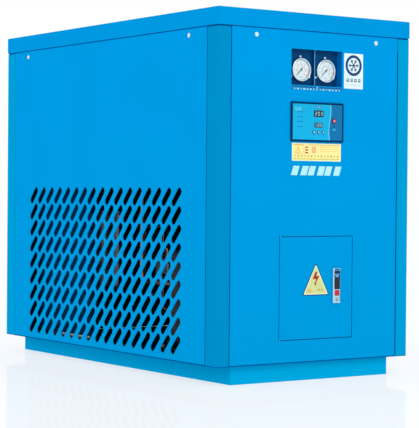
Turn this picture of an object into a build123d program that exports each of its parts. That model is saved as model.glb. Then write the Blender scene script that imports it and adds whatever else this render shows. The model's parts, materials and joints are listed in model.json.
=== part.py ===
from build123d import *
import math
import os

# Refrigerated compressed-air dryer in a floor-standing sheet-metal cabinet.
# Millimetres. +X runs to the right along the front, +Y to the rear, +Z up.
# The origin is at the middle of the footprint, at floor level.

os.makedirs("parts", exist_ok=True)

# Cabinet
cabinet_width = 630.0
cabinet_length = 1135.0
cabinet_height = 950.0
sheet = 2.0
panel_edge_radius = 0.8
seam = 1.5
lid_height = 45.0
lid_overhang = 2.0
lid_gap = 4.0
lid_lip = 30.0
lid_corner_radius = 5.0
lid_top_radius = 2.5
post_width = 40.0
post_depth = 50.0
post_corner_radius = 3.0
plinth_height = 48.0
plinth_inset_side = 58.0
plinth_inset_end = 19.0
plinth_rail_depth = 40.0
plinth_wall = 3.0
anchor_spacing_x = 400.0
anchor_hole_radius = 6.5
anchor_inset = 22.0
rail_depth = 30.0
rail_height = 36.0
front_proud = 3.5

# Panel screws
screw_height = 886.0
end_screw_spacing = 392.0
side_screw_spacing = 866.0
screw_head_radius = 6.0
screw_head_height = 2.0
screw_shank_radius = 3.0
screw_play = 0.3
screw_shank_length = 12.0

# Side grilles
slot_length = 59.0
slot_width = 20.4
slot_angle = 132.5
slot_pitch_y = 48.3
slot_pitch_z = 47.9
slot_columns = 17
slot_rows = 9
grille_centre_y = 6.5
grille_centre_z = 281.6

# Gauge window and gauges
window_width = 167.0
window_height = 93.0
window_x = -1.5
window_z = 810.5
pocket_depth = 20.0
gauge_spacing = 81.0
gauge_z = 805.0
gauge_rim_radius = 30.8
gauge_case_radius = 27.0
gauge_rim_height = 9.0
gauge_case_depth = 30.0
gauge_glass_radius = 27.4
gauge_screw_circle = 35.0
gauge_screw_radius = 3.0
gauge_screw_height = 1.8
gauge_play = 0.5
divider_width = 3.0
needle_length = 21.0
needle_shaft_radius = 1.0
needle_bore_radius = 1.05
needle_hub_radius = 3.0
needle_tail = 8.0
needle_thickness = 1.2
glass_thickness = 1.2

# Controller
controller_x = -1.0
controller_z = 670.0
controller_width = 172.0
controller_height = 102.0
controller_border = 5.0
controller_proud = 4.0
controller_body_width = 158.0
controller_body_height = 88.0
controller_body_depth = 40.0
fascia_thickness = 1.0
small_button_radius = 4.2
small_button_spacing = 15.3
small_button_z = 643.8
power_button_x = 53.2
power_button_z = 674.5
power_button_radius = 7.2
power_lamp_z = 651.8
power_lamp_width = 9.0
power_lamp_height = 6.5
button_play = 0.4
button_pocket_depth = 5.0
lamp_x = -52.0
lamp_radius = 1.8
display_thickness = 1.4

# Electrical compartment
door_left = -117.0
door_right = 121.0
door_bottom = 108.0
door_top = 373.0
door_hinge_gap = 2.2
door_flange = 10.0
box_depth = 138.5
box_margin = 7.0
box_wall = 1.5
hinge_x = -113.0
hinge_inset = 4.0
hinge_pin_radius = 1.5
hinge_bore_radius = 1.55
hinge_lug_thickness = 3.0

# Door lock
lock_x = 67.0
lock_z = 244.5
lock_width = 26.0
lock_height = 92.0
lock_proud = 5.0
lock_body_width = 22.0
lock_body_depth = 20.5
lever_width = 17.0
lever_bottom = 236.0
lever_top = 279.0
lever_pin_z = 277.0
lever_pin_radius = 1.5
lock_button_size = 14.0
lock_button_z = 225.5
key_cylinder_z = 207.5
key_cylinder_radius = 6.5
running_clearance = 0.05
bolt_reach = 121.0
bolt_thickness = 2.5
bolt_height = 12.0

# Refrigeration circuit
compressor_x = -140.0
compressor_y = -240.0
compressor_radius = 85.0
compressor_top = 345.0
compressor_band_z = 200.0
compressor_stub_radius = 11.0
compressor_stub_length = 15.0
discharge_z = 270.0
suction_stub_z = 230.0
terminal_box_z = 240.0
terminal_box_width = 60.0
terminal_box_height = 70.0
terminal_box_depth = 25.0
foot_spacing = 150.0
foot_plate = 4.0
foot_margin = 18.0
foot_hole_radius = 5.0
grommet_height = 12.0
grommet_radius = 14.0
pipe_radius = 7.0
condenser_depth = 60.0
condenser_length = 500.0
condenser_height = 420.0
condenser_x = 270.0
condenser_bottom = 90.0
fin_pitch = 12.5
fin_thickness = 1.2
end_plate_thickness = 3.0
tube_radius = 5.0
tube_rows = 2
tube_row_spacing = 30.0
tube_layers = 10
tube_layer_spacing = 42.0
condenser_stub_length = 22.0
fan_z = 300.0
fan_radius = 165.0
fan_hub_radius = 36.0
fan_shaft_radius = 6.0
fan_blade_count = 5
shroud_face_x = 170.0
shroud_rim_depth = 52.0
exchanger_x = -70.0
exchanger_y = 350.0
exchanger_width = 260.0
exchanger_length = 300.0
exchanger_bottom = 430.0
exchanger_top = 840.0
separator_radius = 55.0
separator_y = 400.0
separator_bottom = 180.0
separator_wall = 4.0
separator_base = 20.0
drier_x = 100.0
drier_y = 330.0
drier_bottom = 200.0
drier_top = 320.0
drier_radius = 20.0

# Air ports, drain and cable gland on the rear
port_spacing = 140.0
port_z = 760.0
port_thread_radius = 23.9
port_thread_length = 30.0
port_bore_radius = 21.0
port_outer_radius = 33.0
port_pipe_radius = 27.0
port_collar_length = 40.0
drain_z = 130.0
drain_pipe_radius = 9.0
drain_bore_radius = 6.0
gland_x = 200.0
gland_z = 150.0
gland_bore_radius = 8.0
gland_wall = 4.0
gland_hex_radius = 16.0
gland_nut_thickness = 5.0

# Places that follow from the dimensions above
body_x = cabinet_width / 2 - lid_overhang
body_y = cabinet_length / 2 - lid_overhang
front_y = -body_y
panel_back_y = front_y + sheet
overall_y = cabinet_length / 2 + front_proud
lid_bottom = cabinet_height - lid_height
floor_z = plinth_height + sheet
panel_bottom = floor_z + 0.5
panel_top = lid_bottom - 2.0
panel_z = (panel_bottom + panel_top) / 2
panel_height = panel_top - panel_bottom
post_top = lid_bottom - lid_gap
post_inner_x = body_x - post_width
post_inner_y = body_y - post_depth
plinth_x = cabinet_width / 2 - plinth_inset_side
plinth_y = cabinet_length / 2 - plinth_inset_end
anchor_y = plinth_y - anchor_inset
front_panel_width = 2 * (post_inner_x - seam)
side_panel_length = 2 * (post_inner_y - seam)
rail_z = lid_bottom - rail_height / 2


def facing_front(y):
    """A plane across the cabinet at depth y, whose normal points to the front."""
    return Plane.XZ.offset(-y)


def facing_rear(y):
    """A plane across the cabinet at depth y, whose normal points to the rear."""
    return Plane(origin=(0, y, 0), x_dir=(-1, 0, 0), z_dir=(0, 1, 0))


# Lid: an inverted tray with a lip all round its lower edge
with BuildPart() as lid:
    with BuildSketch(Plane.XY.offset(lid_bottom)):
        RectangleRounded(cabinet_width, cabinet_length, lid_corner_radius)
    extrude(amount=lid_height)
    fillet(lid.faces().sort_by(Axis.Z)[-1].edges(), lid_top_radius)
    with BuildSketch(Plane.XY.offset(lid_bottom + sheet)):
        Rectangle(cabinet_width - 2 * sheet, cabinet_length - 2 * sheet)
    extrude(amount=lid_height - 2 * sheet - 0.5, mode=Mode.SUBTRACT)
    with BuildSketch(Plane.XY.offset(lid_bottom)):
        Rectangle(cabinet_width - 2 * lid_lip, cabinet_length - 2 * lid_lip)
    extrude(amount=sheet, mode=Mode.SUBTRACT)
lid.part.label = "lid"
export_step(lid.part, "parts/lid.step")

# Corner posts: folded hollow sections
for end, y_sign in (("front", -1), ("rear", 1)):
    for side, x_sign in (("left", -1), ("right", 1)):
        post_name = f"post_{end}_{side}"
        post_centre = (x_sign * (body_x - post_width / 2), y_sign * (body_y - post_depth / 2))
        with BuildPart() as post:
            with BuildSketch(Plane.XY.offset(floor_z)):
                with Locations(post_centre):
                    RectangleRounded(post_width, post_depth, post_corner_radius)
                    Rectangle(post_width - 2 * sheet, post_depth - 2 * sheet, mode=Mode.SUBTRACT)
            extrude(amount=post_top - floor_z)
        post.part.label = post_name
        export_step(post.part, f"parts/{post_name}.step")

# Plinth: four channels that open inwards, the front and rear ones with closed ends and anchor holes
with BuildPart() as plinth_cross_rails:
    for end in (-1, 1):
        with BuildSketch(Plane.YZ.offset(-plinth_x)):
            with Locations((end * (plinth_y - plinth_rail_depth / 2), plinth_height / 2)):
                Rectangle(plinth_rail_depth, plinth_height)
        extrude(amount=2 * plinth_x)
        with BuildSketch(Plane.YZ.offset(plinth_wall - plinth_x)):
            with Locations((end * (plinth_y - plinth_rail_depth / 2 - plinth_wall), plinth_height / 2)):
                Rectangle(plinth_rail_depth, plinth_height - 2 * plinth_wall)
        extrude(amount=2 * (plinth_x - plinth_wall), mode=Mode.SUBTRACT)
    with GridLocations(anchor_spacing_x, 2 * anchor_y, 2, 2):
        Cylinder(anchor_hole_radius, 4 * plinth_wall, mode=Mode.SUBTRACT)
plinth_cross_rails.part.label = "plinth_cross_rails"
export_step(plinth_cross_rails.part, "parts/plinth_cross_rails.step")

with BuildPart() as plinth_side_rails:
    for side in (-1, 1):
        with BuildSketch(facing_front(plinth_y - plinth_rail_depth)):
            with Locations((side * (plinth_x - plinth_rail_depth / 2), plinth_height / 2)):
                Rectangle(plinth_rail_depth, plinth_height)
            with Locations((side * (plinth_x - plinth_rail_depth / 2 - plinth_wall), plinth_height / 2)):
                Rectangle(plinth_rail_depth, plinth_height - 2 * plinth_wall, mode=Mode.SUBTRACT)
        extrude(amount=2 * (plinth_y - plinth_rail_depth))
plinth_side_rails.part.label = "plinth_side_rails"
export_step(plinth_side_rails.part, "parts/plinth_side_rails.step")

with BuildPart() as base_plate:
    with BuildSketch(Plane.XY.offset(plinth_height)):
        RectangleRounded(2 * body_x, 2 * body_y, post_corner_radius)
    extrude(amount=sheet)
base_plate.part.label = "base_plate"
export_step(base_plate.part, "parts/base_plate.step")

# Top rails: hollow sections between the posts, which carry the lid and take the panel screws
with BuildPart() as top_cross_rails:
    for end in (-1, 1):
        with BuildSketch(Plane.YZ.offset(-post_inner_x)):
            with Locations((end * (body_y - sheet - rail_depth / 2), rail_z)):
                Rectangle(rail_depth, rail_height)
                Rectangle(rail_depth - 2 * sheet, rail_height - 2 * sheet, mode=Mode.SUBTRACT)
        extrude(amount=2 * post_inner_x)
        with BuildSketch(facing_front(end * (body_y - sheet - rail_depth / 2))):
            with Locations((0, screw_height)):
                with GridLocations(end_screw_spacing, 1, 2, 1):
                    Circle(screw_shank_radius + running_clearance)
        extrude(amount=-end * rail_depth, mode=Mode.SUBTRACT)
top_cross_rails.part.label = "top_cross_rails"
export_step(top_cross_rails.part, "parts/top_cross_rails.step")

with BuildPart() as top_side_rails:
    for side in (-1, 1):
        with BuildSketch(facing_front(post_inner_y)):
            with Locations((side * (body_x - sheet - rail_depth / 2), rail_z)):
                Rectangle(rail_depth, rail_height)
                Rectangle(rail_depth - 2 * sheet, rail_height - 2 * sheet, mode=Mode.SUBTRACT)
        extrude(amount=2 * post_inner_y)
        with BuildSketch(Plane.YZ.offset(side * (body_x - sheet - rail_depth / 2))):
            with Locations((0, screw_height)):
                with GridLocations(side_screw_spacing, 1, 2, 1):
                    Circle(screw_shank_radius + running_clearance)
        extrude(amount=side * rail_depth, mode=Mode.SUBTRACT)
top_side_rails.part.label = "top_side_rails"
export_step(top_side_rails.part, "parts/top_side_rails.step")

# Side grille panels: a square grid of slanted slots, the same on both sides
for side, x_sign in (("left", -1), ("right", 1)):
    panel_name = f"{side}_grille_panel"
    with BuildPart() as grille_panel:
        with BuildSketch(Plane.YZ.offset(x_sign * body_x)):
            with Locations((0, panel_z)):
                RectangleRounded(side_panel_length, panel_height, 1.0)
            with Locations((grille_centre_y, grille_centre_z)):
                with GridLocations(slot_pitch_y, slot_pitch_z, slot_columns, slot_rows):
                    SlotOverall(slot_length, slot_width, rotation=slot_angle, mode=Mode.SUBTRACT)
            with Locations((0, screw_height)):
                with GridLocations(side_screw_spacing, 1, 2, 1):
                    Circle(screw_shank_radius + screw_play, mode=Mode.SUBTRACT)
        extrude(amount=-x_sign * sheet)
        outer_face = grille_panel.faces().sort_by(Axis.X)[0 if x_sign < 0 else -1]
        fillet(outer_face.outer_wire().edges(), panel_edge_radius)
    grille_panel.part.label = panel_name
    export_step(grille_panel.part, f"parts/{panel_name}.step")

# Front panel: openings for the gauges, the controller and the electrical door
door_x = (door_left + door_right) / 2
door_z = (door_bottom + door_top) / 2
door_width = door_right - door_left
door_height = door_top - door_bottom
opening_left = door_left - door_hinge_gap
opening_right = door_right + seam
with BuildPart() as front_panel:
    with BuildSketch(facing_front(panel_back_y)):
        with Locations((0, panel_z)):
            RectangleRounded(front_panel_width, panel_height, 1.0)
        with Locations((window_x, window_z)):
            RectangleRounded(window_width, window_height, 2.0, mode=Mode.SUBTRACT)
        with Locations((controller_x, controller_z)):
            Rectangle(controller_body_width + 1, controller_body_height + 1, mode=Mode.SUBTRACT)
        with Locations(((opening_left + opening_right) / 2, door_z)):
            Rectangle(opening_right - opening_left, door_height + 2 * seam, mode=Mode.SUBTRACT)
        with Locations((0, screw_height)):
            with GridLocations(end_screw_spacing, 1, 2, 1):
                Circle(screw_shank_radius + screw_play, mode=Mode.SUBTRACT)
    extrude(amount=sheet)
    fillet(front_panel.faces().sort_by(Axis.Y)[0].outer_wire().edges(), panel_edge_radius)
front_panel.part.label = "front_panel"
export_step(front_panel.part, "parts/front_panel.step")

# Rear panel: openings for the two air ports, the drain outlet and the cable gland
with BuildPart() as rear_panel:
    with BuildSketch(facing_front(body_y)):
        with Locations((0, panel_z)):
            RectangleRounded(front_panel_width, panel_height, 1.0)
        with Locations((exchanger_x, port_z)):
            with GridLocations(port_spacing, 1, 2, 1):
                Circle(port_outer_radius + 1, mode=Mode.SUBTRACT)
        with Locations((exchanger_x, drain_z)):
            Circle(drain_pipe_radius + 1, mode=Mode.SUBTRACT)
        with Locations((gland_x, gland_z)):
            Circle(gland_bore_radius + gland_wall + 0.1, mode=Mode.SUBTRACT)
        with Locations((0, screw_height)):
            with GridLocations(end_screw_spacing, 1, 2, 1):
                Circle(screw_shank_radius + screw_play, mode=Mode.SUBTRACT)
    extrude(amount=sheet)
    fillet(rear_panel.faces().sort_by(Axis.Y)[-1].outer_wire().edges(), panel_edge_radius)
rear_panel.part.label = "rear_panel"
export_step(rear_panel.part, "parts/rear_panel.step")

# Panel screws: two on each of the four faces, a low domed head on a plain shank
with BuildPart() as panel_screws:
    for quarter in range(4):
        on_side = quarter % 2 == 1
        face_distance = body_x if on_side else body_y
        spacing = side_screw_spacing if on_side else end_screw_spacing
        outward = Vector(0, -1, 0).rotate(Axis.Z, 90 * quarter)
        along = Vector(1, 0, 0).rotate(Axis.Z, 90 * quarter)
        face = Plane(origin=outward * face_distance, x_dir=along, z_dir=outward)
        with BuildSketch(face):
            with Locations((0, screw_height)):
                with GridLocations(spacing, 1, 2, 1):
                    Circle(screw_head_radius)
        extrude(amount=screw_head_height)
        with BuildSketch(face):
            with Locations((0, screw_height)):
                with GridLocations(spacing, 1, 2, 1):
                    Circle(screw_shank_radius)
        extrude(amount=-screw_shank_length)
panel_screws.part.label = "panel_screws"
export_step(panel_screws.part, "parts/panel_screws.step")

# Gauge pocket: a shallow tray behind the window, with a divider between the gauges
pocket_back_y = panel_back_y + pocket_depth - sheet
gauge_xs = (window_x - gauge_spacing / 2, window_x + gauge_spacing / 2)
gauge_screw_angles = (90, 210, 330)
with BuildPart() as gauge_pocket:
    with BuildSketch(facing_front(pocket_back_y + sheet)):
        with Locations((window_x, window_z)):
            Rectangle(window_width + 2 * sheet, window_height + 2 * sheet)
    extrude(amount=pocket_depth)
    with BuildSketch(facing_front(pocket_back_y)):
        with Locations((window_x, window_z)):
            Rectangle(window_width, window_height)
            Rectangle(divider_width, window_height, mode=Mode.SUBTRACT)
    extrude(amount=gauge_rim_height, mode=Mode.SUBTRACT)
    with BuildSketch(facing_front(pocket_back_y - gauge_rim_height)):
        with Locations((window_x, window_z)):
            Rectangle(window_width, window_height)
    extrude(amount=pocket_depth, mode=Mode.SUBTRACT)
    with BuildSketch(facing_front(pocket_back_y + sheet)):
        with Locations((window_x, gauge_z)):
            with GridLocations(gauge_spacing, 1, 2, 1):
                Circle(gauge_case_radius + gauge_play)
    extrude(amount=sheet, mode=Mode.SUBTRACT)
gauge_pocket.part.label = "gauge_pocket"
export_step(gauge_pocket.part, "parts/gauge_pocket.step")

# Gauges: cupped cases with a rim, printed dials, needles and glasses
rim_front_y = pocket_back_y - gauge_rim_height
dial_back_y = rim_front_y + 5.5
dial_front_y = dial_back_y - 1.0
needle_back_y = dial_front_y - 0.4
needle_front_y = needle_back_y - needle_thickness
glass_back_y = rim_front_y + 2.1
with BuildPart() as gauge_cases:
    with BuildSketch(facing_front(pocket_back_y)):
        with Locations((window_x, gauge_z)):
            with GridLocations(gauge_spacing, 1, 2, 1):
                Circle(gauge_rim_radius)
    extrude(amount=gauge_rim_height)
    with BuildSketch(facing_front(pocket_back_y + gauge_case_depth)):
        with Locations((window_x, gauge_z)):
            with GridLocations(gauge_spacing, 1, 2, 1):
                Circle(gauge_case_radius)
    extrude(amount=gauge_case_depth)
    with BuildSketch(facing_front(dial_back_y)):
        with Locations((window_x, gauge_z)):
            with GridLocations(gauge_spacing, 1, 2, 1):
                Circle(gauge_glass_radius)
    extrude(amount=gauge_rim_height, mode=Mode.SUBTRACT)
gauge_cases.part.label = "gauge_cases"
export_step(gauge_cases.part, "parts/gauge_cases.step")

with BuildPart() as gauge_dials:
    with BuildSketch(facing_front(dial_back_y)):
        with Locations((window_x, gauge_z)):
            with GridLocations(gauge_spacing, 1, 2, 1):
                Circle(gauge_glass_radius - 0.2)
    extrude(amount=dial_back_y - dial_front_y)
    with BuildSketch(facing_front(dial_front_y)):
        with Locations((window_x, gauge_z)):
            with GridLocations(gauge_spacing, 1, 2, 1):
                Circle(needle_shaft_radius)
    extrude(amount=dial_front_y - needle_front_y)
gauge_dials.part.label = "gauge_dials"
export_step(gauge_dials.part, "parts/gauge_dials.step")

with BuildPart() as gauge_lenses:
    with BuildSketch(facing_front(glass_back_y)):
        with Locations((window_x, gauge_z)):
            with GridLocations(gauge_spacing, 1, 2, 1):
                Circle(gauge_glass_radius - 0.1)
    extrude(amount=glass_thickness)
gauge_lenses.part.label = "gauge_lenses"
export_step(gauge_lenses.part, "parts/gauge_lenses.step")

needle_zero_angle = 225.0
for needle_name, needle_x in zip(("left_gauge_needle", "right_gauge_needle"), gauge_xs):
    with BuildPart() as needle:
        with BuildSketch(facing_front(needle_back_y)):
            with Locations((needle_x, gauge_z)):
                Circle(needle_hub_radius)
                with Locations(Location((0, 0), needle_zero_angle)):
                    Polygon(
                        (0, 1.2),
                        (-needle_tail, 1.6),
                        (-needle_tail, -1.6),
                        (0, -1.2),
                        (needle_length, -0.3),
                        (needle_length, 0.3),
                        align=None,
                    )
                Circle(needle_bore_radius, mode=Mode.SUBTRACT)
        extrude(amount=needle_back_y - needle_front_y)
    needle.part.label = needle_name
    export_step(needle.part, f"parts/{needle_name}.step")

with BuildPart() as gauge_screws:
    for gauge_x in gauge_xs:
        for angle in gauge_screw_angles:
            screw_x = gauge_x + gauge_screw_circle * math.cos(math.radians(angle))
            screw_z = gauge_z + gauge_screw_circle * math.sin(math.radians(angle))
            with BuildSketch(facing_front(pocket_back_y)):
                with Locations((screw_x, screw_z)):
                    Circle(gauge_screw_radius)
            extrude(amount=gauge_screw_height)
gauge_screws.part.label = "gauge_screws"
export_step(gauge_screws.part, "parts/gauge_screws.step")

# Labels on the front panel: strip under the gauges, plate beside them, warning label, accent bars
label_thickness = 0.4
strip_z = 757.0
strip_height = 10.0
plate_x = 126.5
plate_z = 807.8
plate_width = 77.0
plate_height = 92.5
warning_z = 592.0
warning_height = 46.0
warning_width = 161.0
accent_left = -84.0
accent_bar_width = 46.0
accent_bar_pitch = 54.0
accent_slant = 8.0
accent_bottom = 532.0
accent_top = 556.0
with BuildPart() as panel_labels:
    with BuildSketch(facing_front(front_y)):
        with Locations((window_x, strip_z)):
            Rectangle(window_width, strip_height)
        with Locations((plate_x, plate_z)):
            RectangleRounded(plate_width, plate_height, 1.5)
        with Locations((controller_x, warning_z)):
            RectangleRounded(warning_width, warning_height, 1.5)
        for bar in range(3):
            bar_left = accent_left + bar * accent_bar_pitch
            Polygon(
                (bar_left, accent_bottom),
                (bar_left + accent_bar_width, accent_bottom),
                (bar_left + accent_bar_width + accent_slant, accent_top),
                (bar_left + accent_slant, accent_top),
                align=None,
            )
    extrude(amount=label_thickness)
panel_labels.part.label = "panel_labels"
export_step(panel_labels.part, "parts/panel_labels.step")

# Controller: housing through the panel, fascia film, display windows and lamps, push buttons
controller_front_y = front_y - controller_proud
fascia_back_y = controller_front_y + fascia_thickness + 0.2
fascia_width = controller_width - 2 * controller_border
fascia_height = controller_height - 2 * controller_border
displays = ((2.1, 692.2, 31.5, 16.8), (1.5, 662.4, 27.4, 13.9))
lamp_zs = (695.6, 682.2, 670.4, 657.0)
small_buttons = (
    ("set_button", 1.4 - small_button_spacing),
    ("down_button", 1.4),
    ("up_button", 1.4 + small_button_spacing),
)
with BuildPart() as controller_housing:
    with BuildSketch(facing_front(front_y)):
        with Locations((controller_x, controller_z)):
            RectangleRounded(controller_width, controller_height, 3.0)
    extrude(amount=controller_proud)
    with BuildSketch(facing_front(front_y)):
        with Locations((controller_x, controller_z)):
            Rectangle(controller_body_width, controller_body_height)
    extrude(amount=-controller_body_depth)
    with BuildSketch(facing_front(fascia_back_y)):
        with Locations((controller_x, controller_z)):
            Rectangle(fascia_width + 0.4, fascia_height + 0.4)
    extrude(amount=controller_proud, mode=Mode.SUBTRACT)
    with BuildSketch(facing_front(fascia_back_y)):
        for button_name, button_x in small_buttons:
            with Locations((button_x, small_button_z)):
                Circle(small_button_radius + button_play)
        with Locations((power_button_x, power_button_z)):
            Circle(power_button_radius + button_play)
    extrude(amount=-button_pocket_depth, mode=Mode.SUBTRACT)
controller_housing.part.label = "controller_housing"
export_step(controller_housing.part, "parts/controller_housing.step")

with BuildPart() as controller_fascia:
    with BuildSketch(facing_front(fascia_back_y)):
        with Locations((controller_x, controller_z)):
            Rectangle(fascia_width, fascia_height)
        for display_x, display_z, display_width, display_height in displays:
            with Locations((display_x, display_z)):
                Rectangle(display_width + 0.2, display_height + 0.2, mode=Mode.SUBTRACT)
        for lamp_z in lamp_zs:
            with Locations((lamp_x, lamp_z)):
                Circle(lamp_radius + 0.1, mode=Mode.SUBTRACT)
        for button_name, button_x in small_buttons:
            with Locations((button_x, small_button_z)):
                Circle(small_button_radius + button_play, mode=Mode.SUBTRACT)
        with Locations((power_button_x, power_button_z)):
            Circle(power_button_radius + button_play, mode=Mode.SUBTRACT)
        with Locations((power_button_x, power_lamp_z)):
            Rectangle(power_lamp_width + 0.2, power_lamp_height + 0.2, mode=Mode.SUBTRACT)
    extrude(amount=fascia_thickness)
controller_fascia.part.label = "controller_fascia"
export_step(controller_fascia.part, "parts/controller_fascia.step")

with BuildPart() as controller_displays:
    with BuildSketch(facing_front(fascia_back_y)):
        for display_x, display_z, display_width, display_height in displays:
            with Locations((display_x, display_z)):
                Rectangle(display_width, display_height)
        for lamp_z in lamp_zs:
            with Locations((lamp_x, lamp_z)):
                Circle(lamp_radius)
        with Locations((power_button_x, power_lamp_z)):
            Rectangle(power_lamp_width, power_lamp_height)
    extrude(amount=display_thickness)
controller_displays.part.label = "controller_displays"
export_step(controller_displays.part, "parts/controller_displays.step")

button_back_y = fascia_back_y + 3.0
for button_name, button_x in small_buttons:
    with BuildPart() as small_button:
        with BuildSketch(facing_front(button_back_y)):
            with Locations((button_x, small_button_z)):
                Circle(small_button_radius)
        extrude(amount=button_back_y - (controller_front_y - 1.2))
        fillet(small_button.faces().sort_by(Axis.Y)[0].edges(), 0.8)
    small_button.part.label = button_name
    export_step(small_button.part, f"parts/{button_name}.step")

with BuildPart() as power_button:
    with BuildSketch(facing_front(button_back_y)):
        with Locations((power_button_x, power_button_z)):
            Circle(power_button_radius)
    extrude(amount=button_back_y - (controller_front_y - 1.6))
    fillet(power_button.faces().sort_by(Axis.Y)[0].edges(), 1.2)
power_button.part.label = "power_button"
export_step(power_button.part, "parts/power_button.step")

# Electrical box: open to the front, with two lugs that hold the hinge pins
box_width = opening_right - opening_left + 2 * box_margin
box_height = door_height + 2 * seam + 2 * box_margin
box_x = (opening_left + opening_right) / 2
box_back_y = panel_back_y + box_depth
hinge_y = front_y + hinge_inset
lug_zs = (door_top + seam, door_bottom - seam - hinge_lug_thickness)
with BuildPart() as electrical_box:
    with BuildSketch(facing_front(box_back_y)):
        with Locations((box_x, door_z)):
            Rectangle(box_width, box_height)
    extrude(amount=box_depth)
    with BuildSketch(facing_front(box_back_y - box_wall)):
        with Locations((box_x, door_z)):
            Rectangle(box_width - 2 * box_wall, box_height - 2 * box_wall)
    extrude(amount=box_depth, mode=Mode.SUBTRACT)
    for lug_z in lug_zs:
        with BuildSketch(Plane.XY.offset(lug_z)):
            with Locations(((box_x - box_width / 2 + hinge_x + 4) / 2, panel_back_y + 5)):
                Rectangle(hinge_x + 4 - (box_x - box_width / 2), 10)
            with Locations((hinge_x, hinge_y)):
                Circle(hinge_bore_radius, mode=Mode.SUBTRACT)
        extrude(amount=hinge_lug_thickness)
electrical_box.part.label = "electrical_box"
export_step(electrical_box.part, "parts/electrical_box.step")

pin_reach = 5.0
pin_starts = (door_top - pin_reach, door_bottom - seam - hinge_lug_thickness)
with BuildPart() as door_hinge_pins:
    for pin_start in pin_starts:
        with BuildSketch(Plane.XY.offset(pin_start)):
            with Locations((hinge_x, hinge_y)):
                Circle(hinge_pin_radius)
        extrude(amount=pin_reach + seam + hinge_lug_thickness)
door_hinge_pins.part.label = "door_hinge_pins"
export_step(door_hinge_pins.part, "parts/door_hinge_pins.step")

# Electrical door: a shallow pan that turns on the pins at its left edge
lock_plate_back_y = front_y + lock_body_depth
with BuildPart() as electrical_door:
    with BuildSketch(facing_front(panel_back_y)):
        with Locations((door_x, door_z)):
            Rectangle(door_width, door_height)
    extrude(amount=sheet)
    fillet(electrical_door.faces().sort_by(Axis.Y)[0].edges(), 1.2)
    with BuildSketch(facing_front(panel_back_y + door_flange)):
        with Locations((door_x, door_z)):
            Rectangle(door_width, door_height)
            Rectangle(door_width - 2 * sheet, door_height - 2 * sheet, mode=Mode.SUBTRACT)
    extrude(amount=door_flange)
    with BuildSketch(Plane.XY.offset(door_bottom)):
        with Locations((hinge_x, hinge_y)):
            Circle(hinge_bore_radius)
    extrude(amount=door_height, mode=Mode.SUBTRACT)
    with BuildSketch(facing_front(lock_plate_back_y)):
        with Locations((lock_x, lock_z)):
            Rectangle(lock_body_width + 0.6, lock_height - 3.4)
    extrude(amount=2 * lock_body_depth, mode=Mode.SUBTRACT)
electrical_door.part.label = "electrical_door"
export_step(electrical_door.part, "parts/electrical_door.step")

triangle_side = 84.0
triangle_x = 0.0
triangle_base_z = 222.0
with BuildPart() as hazard_triangle:
    with BuildSketch(facing_front(front_y)):
        with BuildLine():
            FilletPolyline(
                (triangle_x - triangle_side / 2, triangle_base_z),
                (triangle_x + triangle_side / 2, triangle_base_z),
                (triangle_x, triangle_base_z + triangle_side * math.sqrt(3) / 2 + 5),
                radius=4.0,
                close=True,
            )
        make_face()
    extrude(amount=label_thickness)
hazard_triangle.part.label = "hazard_triangle"
export_step(hazard_triangle.part, "parts/hazard_triangle.step")

# Door lock: chrome frame with a tilting lever, a release button, a key cylinder and a bolt
lever_pin_y = front_y + 0.5
lever_front_y = -overall_y
lever_back_y = front_y + 2.5
lever_pocket_y = front_y + 6.5
lock_front_y = front_y - lock_proud
lock_back_y = front_y + lock_body_depth
with BuildPart() as lock_frame:
    with BuildSketch(facing_front(front_y)):
        with Locations((lock_x, lock_z)):
            RectangleRounded(lock_width, lock_height, 3.0)
    extrude(amount=lock_proud)
    fillet(lock_frame.faces().sort_by(Axis.Y)[0].edges(), 1.5)
    with BuildSketch(facing_front(lock_back_y)):
        with Locations((lock_x, lock_z)):
            Rectangle(lock_body_width, lock_height - 4)
    extrude(amount=lock_body_depth)
    with BuildSketch(facing_front(lever_pocket_y)):
        with Locations((lock_x, (lever_bottom + lever_top + 3) / 2)):
            Rectangle(lever_width + 1, lever_top - lever_bottom + 5)
    extrude(amount=4 * lock_proud, mode=Mode.SUBTRACT)
    with BuildSketch(facing_front(front_y + 9)):
        with Locations((lock_x, lock_button_z)):
            Rectangle(lock_button_size + 1, lock_button_size + 1)
    extrude(amount=4 * lock_proud, mode=Mode.SUBTRACT)
    with BuildSketch(facing_front(lock_back_y)):
        with Locations((lock_x, key_cylinder_z)):
            Circle(key_cylinder_radius + running_clearance)
    extrude(amount=2 * lock_body_depth, mode=Mode.SUBTRACT)
    with BuildSketch(Plane.YZ.offset(lock_x - lever_width / 2 - 2.4)):
        with Locations((lever_pin_y, lever_pin_z)):
            Circle(lever_pin_radius + running_clearance)
    extrude(amount=lever_width + 4.8, mode=Mode.SUBTRACT)
lock_frame.part.label = "lock_frame"
export_step(lock_frame.part, "parts/lock_frame.step")

with BuildPart() as lock_lever:
    with BuildSketch(facing_front(lever_back_y)):
        with Locations((lock_x, (lever_bottom + lever_top) / 2)):
            Rectangle(lever_width, lever_top - lever_bottom)
    extrude(amount=lever_back_y - lever_front_y)
    fillet(lock_lever.faces().sort_by(Axis.Y)[0].edges(), 1.5)
    with BuildSketch(Plane.YZ.offset(lock_x - lever_width / 2 - 2)):
        with Locations((lever_pin_y, lever_pin_z)):
            Circle(lever_pin_radius)
    extrude(amount=lever_width + 4)
lock_lever.part.label = "lock_lever"
export_step(lock_lever.part, "parts/lock_lever.step")

with BuildPart() as lock_button:
    with BuildSketch(facing_front(front_y + 5)):
        with Locations((lock_x, lock_button_z)):
            RectangleRounded(lock_button_size, lock_button_size, 1.5)
    extrude(amount=5 + lock_proud)
    fillet(lock_button.faces().sort_by(Axis.Y)[0].edges(), 1.0)
lock_button.part.label = "lock_button"
export_step(lock_button.part, "parts/lock_button.step")

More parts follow.
